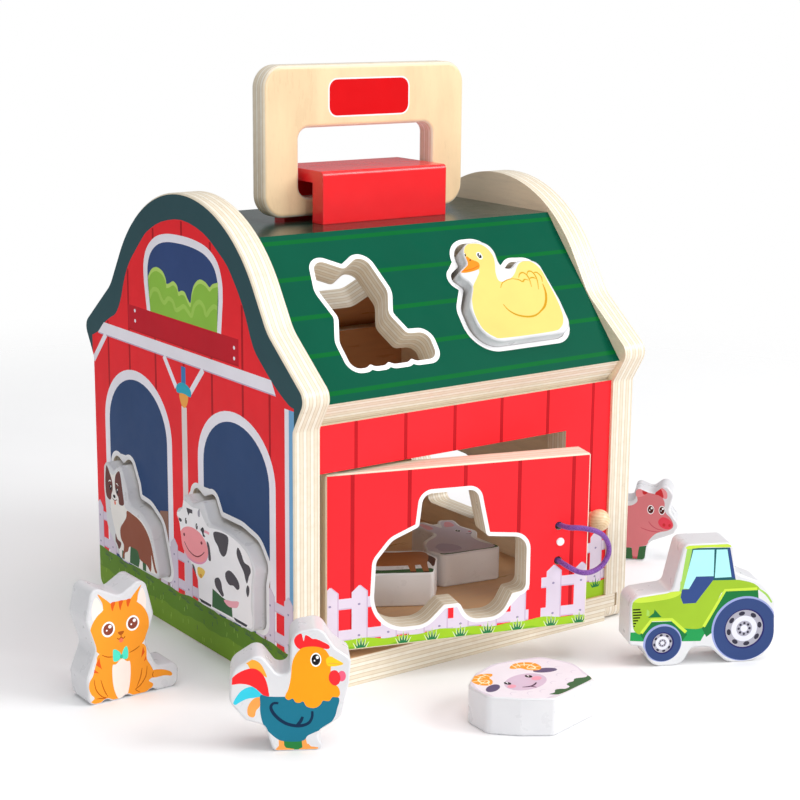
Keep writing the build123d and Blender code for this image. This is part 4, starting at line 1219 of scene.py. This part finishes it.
art = block_arts["cow"]
art.blob("cow_white", [
    (-40.4, 43), (-34.4, 46), (-33.6, 51.4), (-30.4, 52.6), (-22, 51), (-14.6, 51.6), (-11.6, 49), (-6, 44.6),
    (0, 45), (8, 45.8), (17, 45.4), (28, 43), (35, 39.4), (38.4, 33), (37.4, 26), (36.6, 14), (36.6, 2),
    (10, 1.4), (-15.8, 1.6), (-17.6, 8), (-19, 15), (-24, 20.4), (-32, 25), (-36.8, 31), (-37, 38),
], steps=4)
art.fill("meadow", [(-1.8, 12.2), (8, 10.4), (17.6, 9.4), (18.4, 2.4), (-2.4, 2.2)])
art.blob(
    "cow_patch",
    [
        (0.2, 43.2), (8, 44.8), (14.9, 44.2), (14.3, 38.5), (12.5, 34.4), (9.5, 32.5), (6.5, 33.8),
        (4.3, 36.8), (1, 39.3),
    ],
    [
        (24.4, 41.4), (27.5, 39.4), (30.5, 35.3), (35.4, 34.6), (36.9, 32), (35, 29), (33.2, 24.8),
        (31.5, 26.5), (29.9, 30), (25.2, 34.4), (23.1, 38),
    ],
    [
        (15.8, 26.9), (21, 25.7), (25, 23), (25.5, 20), (23, 18.7), (19.5, 19.8), (15.5, 19.1), (12, 21.2),
        (11.7, 24.5),
    ],
    [(4.5, 19.9), (7.3, 18), (8.3, 14.5), (9.9, 12), (8, 10.7), (4.5, 12.5), (1.5, 14.3), (0.5, 17.8)],
    [(33.3, 23.9), (35.1, 23.4), (35.2, 20.5), (33.6, 17.8), (32.1, 20.5)],
    [(-7.2, 36), (-4.8, 35.4), (-3.4, 31), (-3, 27), (-5.4, 26.7), (-5.8, 31)],
    [(-22.8, 19.8), (-20.5, 18.9), (-18.5, 14.5), (-17.8, 12.2), (-19.6, 12), (-21.5, 15.5)], steps=3,
)
art.fill("cow_patch", [
    (-28.2, 49.2), (-21.8, 49.5), (-21.8, 47.4), (-24.6, 47.2), (-26, 45.4), (-27.2, 47.2),
])
art.blob("cow_pink", [(9.8, 9.4), (18, 11.1), (24.6, 12.7), (23.5, 9.5), (19.5, 8), (14, 7.2)], steps=3)
art.line("cow_pink", 1.4, [(-40.6, 41.6), (-38.5, 41.5), (-36, 41.1)], [(-9.6, 40.9), (-7, 41.2), (-4.4, 41)])
art.dot("hoof", -35, 40.8, 1.7, 1.0, steps=12)
art.blob("hoof", [
    (-13.4, 41), (-11, 42.9), (-9.6, 41.5), (-10, 39.6), (-8.6, 38.3), (-10.6, 37.9), (-12.2, 40),
], steps=3)
for x, lean in ((-33.4, -0.8), (-14.8, 0.8)):
    art.blob("hub", [
        (x - 0.2 + lean, 52), (x + 1, 50.4), (x + 0.7, 47.6), (x - 1.0, 47.8), (x - 1.2, 50),
    ], steps=3)
art.eye(-28.8, 41.8, 1.0, 1.7, 1.0)
art.eye(-17.4, 41.6, 1.1, 1.7, 1.0)
art.dot("cow_low", -21, 30.2, 15.3, 9.3, steps=40)
art.dot("cow_snout", -21, 30.9, 15.2, 9.0, steps=40)
art.dot("cow_line", -31, 33.8, 0.9, 0.9, steps=12)
art.dot("cow_line", -12.6, 33.9, 1.0, 0.85, steps=12)
art.line("cow_line", 0.6, [
    (-31, 29.9), (-27, 26.7), (-22, 25.1), (-17, 25.3), (-12.5, 27.5), (-9.7, 29.8),
], taper=0.3)
art.blob("bell", [(-17.2, 19.4), (-13, 20.3), (-9.4, 19.4), (-11, 16.4), (-14, 14.3), (-17, 15.8)], steps=3)
art.blob("bell_dark", [(-15.2, 16.4), (-12.6, 16.6), (-13, 14.8), (-14.4, 14.6)], steps=3)
for left, right in ((-16.4, -3.0), (19, 33)):
    art.fill("hoof", [(left, 3), (right, 2.9), (right - 1, 1.4), (left + 2.6, 1.4)])

art = block_arts["horse"]
art.blob("meadow", [(-15, 8), (0, 6), (14, 7), (27, 8), (27, 1), (6, 0.9), (-14, 1)], steps=3)
for x in (-13, -5, 17, 24):
    art.fill("horse_brown", [(x - 2.1, 18), (x + 2.1, 18), (x + 1.5, 3), (x - 1.5, 3)])
    art.bar("horse_mane", x - 1.6, 1.4, x + 1.6, 3.4)
art.blob("horse_mane", [(25, 34), (30.6, 27), (31.4, 19), (28.6, 11), (27.4, 18), (25, 26)], steps=3)
art.blob("horse_brown", [
    (-28.4, 41.4), (-27, 47.6), (-22, 52.4), (-17, 57.6), (-15.6, 60.6), (-13.4, 56.6), (-9, 53.4),
    (-5.4, 46), (0, 38.6), (10, 36.6), (24, 37.4), (28, 32), (27, 22), (24, 15), (10, 13), (-10, 13.4),
    (-16.4, 17.6), (-16.4, 27), (-17.8, 37.4), (-21.4, 41.6), (-26, 39.8),
], steps=4)
art.blob("horse_muzzle", [(-28.6, 41.6), (-28, 45.8), (-24.4, 46.4), (-22.2, 42), (-25.6, 40)], steps=3)
art.blob("horse_mane", [
    (-15.4, 58.6), (-10.6, 55.6), (-6, 48), (-2, 40), (-6.4, 41), (-9.4, 48), (-13.6, 54.4),
], steps=3)
art.eye(-19.6, 49.6, 1.2, 1.7, 1.25)
art.dot("horse_mane", -26.4, 43.4, 0.6, 0.8, steps=10)

art = block_arts["rabbit"]
art.blob("meadow", [(-18, 6), (-6, 4.6), (6, 5.4), (16, 6), (16, 1.2), (0, 1), (-18, 1.2)], steps=3)
art.blob("rabbit_fur", [
    (-17.6, 3), (-21.4, 11), (-20.6, 19), (-15, 27), (-8, 32), (-4.6, 38), (-8.4, 48), (-7.8, 59), (-2.4, 60),
    (1.4, 51), (4, 46.6), (8.8, 57.4), (15.6, 56.4), (14.4, 46), (15.6, 39), (16.4, 32.4), (11.6, 25),
    (11.6, 14), (15.4, 3), (0, 2),
], steps=4)
art.blob(
    "cow_pink", [(-5.8, 47), (-5.6, 57), (-3, 57), (-1, 50), (-2.6, 46)],
    [(6.4, 47), (10, 55), (13.4, 54.6), (12.4, 47)], steps=3,
)
art.blob("rabbit_shade", [(-16, 6), (-17.4, 14), (-11, 20), (-4, 14), (-5, 6)], steps=4)
art.dot("rabbit_fur", -20.4, 12, 3.4, 3.2)
art.eye(9.6, 37.4, 1.3, 1.9, 1.25)
art.dot("pig_snout", 15.4, 33.6, 1.0, 0.8, steps=12)
art.line("smile", 0.5, [(11.2, 30.4), (13.2, 29.6), (15.2, 30.8)], taper=0.3)

art = block_arts["goose"]
art.blob("meadow", [(-10, 3.4), (2, 2.6), (12, 3.4), (12, 1.2), (0, 1), (-10, 1.2)], steps=3)
for x in (-4, 5):
    art.fill("duck_beak", [(x - 1, 6), (x + 1, 6), (x + 2, 1.4), (x - 2.6, 1.4)])
art.blob("goose_white", [
    (-17, 46.6), (-16.6, 55), (-12, 57.6), (-8.4, 54), (-8.2, 44), (-7.4, 34), (-2, 32), (8, 31.6), (19, 36),
    (27.6, 40.6), (26.2, 28), (24, 15), (14, 6), (0, 4.4), (-12, 5.6), (-20, 13), (-19, 24), (-16, 34),
], steps=4)
art.blob("goose_wing", [
    (-6, 24), (4, 26.4), (16, 26), (23, 30), (19, 18), (10, 11.4), (0, 12), (-6, 17),
], steps=4)
art.blob("duck_beak", [(-26, 48.6), (-21, 52), (-16.6, 53), (-16.8, 48)], steps=3)
art.eye(-13.4, 52, 1.1, 1.5, 1.0)
art.line("hen_red", 1.6, [(-16, 41.4), (-12, 40.2), (-8.4, 41)])

gable_grain = (10.0, 1.2, 10.0)
# A darker, warmer colour on the inner faces of the front, back, roofs and ridge board: painted shade for the
# dim inside of the barn.
inner_shade_wood = (208, 148, 98)
for node_name, body, face, art, wood in (
    ("left_side_panel", "barn", left_gable, gable_art, {"grain_scale": gable_grain}),
    ("right_side_panel", "barn", right_gable, gable_art, {"grain_scale": gable_grain}),
    ("front_panel", "barn", front_wall, front_art, {"painted_inner_shade": inner_shade_wood}),
    ("back_panel", "barn", back_wall, back_art, {"painted_inner_shade": inner_shade_wood}),
    ("roof_front", "barn", front_slope, roof_art, {"painted_inner_shade": inner_shade_wood}),
    ("roof_back", "barn", back_slope, roof_art, {"painted_inner_shade": inner_shade_wood}),
    ("ridge_board", "barn", ridge_top, ridge_art, {"painted_inner_shade": inner_shade_wood}),
    ("door", "door_leaf", door_front, door_art, {}),
):
    printed(node_name, body, plywood("ply_" + node_name, face, **wood), face, art)

# The blocks inside the barn get a lighter copy of the same white paint: painted light, standing in for the
# light that does not reach them there.
block_white = white_paint("white_paint", 214)
painted_light_white = white_paint("white_paint_painted_light", 244)
for animal, face in block_faces.items():
    coat = painted_light_white if animal in ("horse", "rabbit", "goose") else block_white
    printed(animal + "_block", animal, coat, face, block_arts[animal])

handle_wood = plywood("ply_handle", handle_front, (3.0, 3.0, 0.7), (244, 214, 170))
printed("handle", "carry_handle", handle_wood, handle_front, handle_art)

# The base board's top, inside the barn, gets a darker, warmer colour than its wood: painted shade.
table_side = Face((0, 0, 0), (1, 0, 0), (0, 0, -1))
steel = zinc_steel()
for node_name, material in (
    ("base_board", plywood("ply_base", table_side, painted_inner_shade=(224, 178, 132))),
    ("handle_saddle", gloss_paint("saddle_gloss", linear(244, 24, 32))),
    ("saddle_screws", steel),
    ("door_pins", steel),
    ("door_knob", turned_wood()),
    ("door_stud", moulded_white()),
):
    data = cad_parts[node_name].data
    data.materials.clear()
    data.materials.append(material)

# The elastic loop on the door: through the upper hole, round in front, back through the lower hole.
elastic = elastic_cover()
cord_diameter = 0.0028
knot_radius = 0.00115
knot_size, knot_depth, knot_gap = 0.78, 1.15, 2.75
route = [
    (125.5, 74.2, -board), (125.5, 74.2, 4.0), (134.5, 75.5, 10.5), (146.0, 71.5, 11.0), (151.0, 61.0, 9.5),
    (146.0, 52.0, 9.0), (135.0, 50.0, 10.5), (125.5, 55.5, 4.0), (125.5, 55.5, -board),
]


def tube(name, points, radius, cyclic=False):
    """A bevelled NURBS curve through the neighbourhood of its points, in metres."""
    data = bpy.data.curves.new(name, "CURVE")
    data.dimensions = "3D"
    spline = data.splines.new("NURBS")
    spline.points.add(len(points) - 1)
    for slot, point in zip(spline.points, points):
        slot.co = (*point, 1)
    spline.order_u = 3
    spline.use_cyclic_u = cyclic
    spline.use_endpoint_u = not cyclic
    spline.resolution_u = 10
    data.bevel_depth = radius
    data.bevel_resolution = 5
    data.use_fill_caps = not cyclic
    data.materials.append(elastic)
    return new_piece(name, data)


def knot(name, u, v):
    """The elastic's stopper knot behind the door: one turn through itself."""
    points = []
    for k in range(24):
        t = math.tau * k / 24
        across = (math.sin(t) + 2 * math.sin(2 * t)) * knot_size
        up = (math.cos(t) - 2 * math.cos(2 * t)) * knot_size
        deep = -math.sin(3 * t) * knot_depth
        points.append(door_front.point(u + across, v + up, -board - knot_gap + deep))
    return tube(name, points, knot_radius, cyclic=True)


loop = tube("elastic_loop_cord", [door_front.point(*point) for point in route], cord_diameter / 2)
knots = [knot("elastic_knot_top", 125.5, 74.2), knot("elastic_knot_low", 125.5, 55.5)]
for piece in (loop, *knots):
    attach(piece, "door_leaf")
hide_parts("elastic_loop")
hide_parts("elastic_knots")

# Floor, light and background, in metres.
reach = 2
floor_data = bpy.data.meshes.new("floor")
corners = [(-reach, -reach, 0), (reach, -reach, 0), (reach, reach, 0), (-reach, reach, 0)]
floor_data.from_pydata(corners, [], [(0, 1, 2, 3)])
floor_data.materials.append(floor_material())
floor = new_piece("floor", floor_data)

for name, place, target, size, power in (
    ("key", (1.5, -1.6, 1.5), (0, -0.05, 0.1), (1.3, 1.1), 36),
    ("front_fill", (0.2, -2.4, 0.42), (0, 0, 0.1), (1.2, 0.8), 18),
    ("top", (0.1, -0.2, 2.6), (0, 0, 0.1), (2.4, 2.4), 38),
    ("left_fill", (-2.2, -0.9, 0.8), (0, 0, 0.12), (1.4, 1.4), 8),
):
    data = bpy.data.lights.new(name, "AREA")
    data.shape = "RECTANGLE"
    data.size, data.size_y = size
    data.energy = power
    lamp = new_piece(name, data)
    lamp.location = place
    lamp.rotation_euler = (Vector(target) - Vector(place)).to_track_quat("-Z", "Y").to_euler()

# The camera sees white, and the object is lit by a dimmer, slightly cool sky.
world = bpy.data.worlds.new("studio")
world.use_nodes = True
scene.world = world
tree = world.node_tree
tree.nodes.clear()
seen = new_node(tree, "ShaderNodeBackground", {"Color": (1, 1, 1, 1), "Strength": 1.0})
ambient = new_node(tree, "ShaderNodeBackground", {"Color": (0.97, 0.98, 1.0, 1), "Strength": 0.36})
choice = new_node(tree, "ShaderNodeMixShader", {
    "Fac": new_node(tree, "ShaderNodeLightPath", {}).outputs["Is Camera Ray"],
    1: ambient.outputs["Background"],
    2: seen.outputs["Background"],
})
new_node(tree, "ShaderNodeOutputWorld", {"Surface": choice.outputs["Shader"]})

scene.view_settings.view_transform = "Standard"
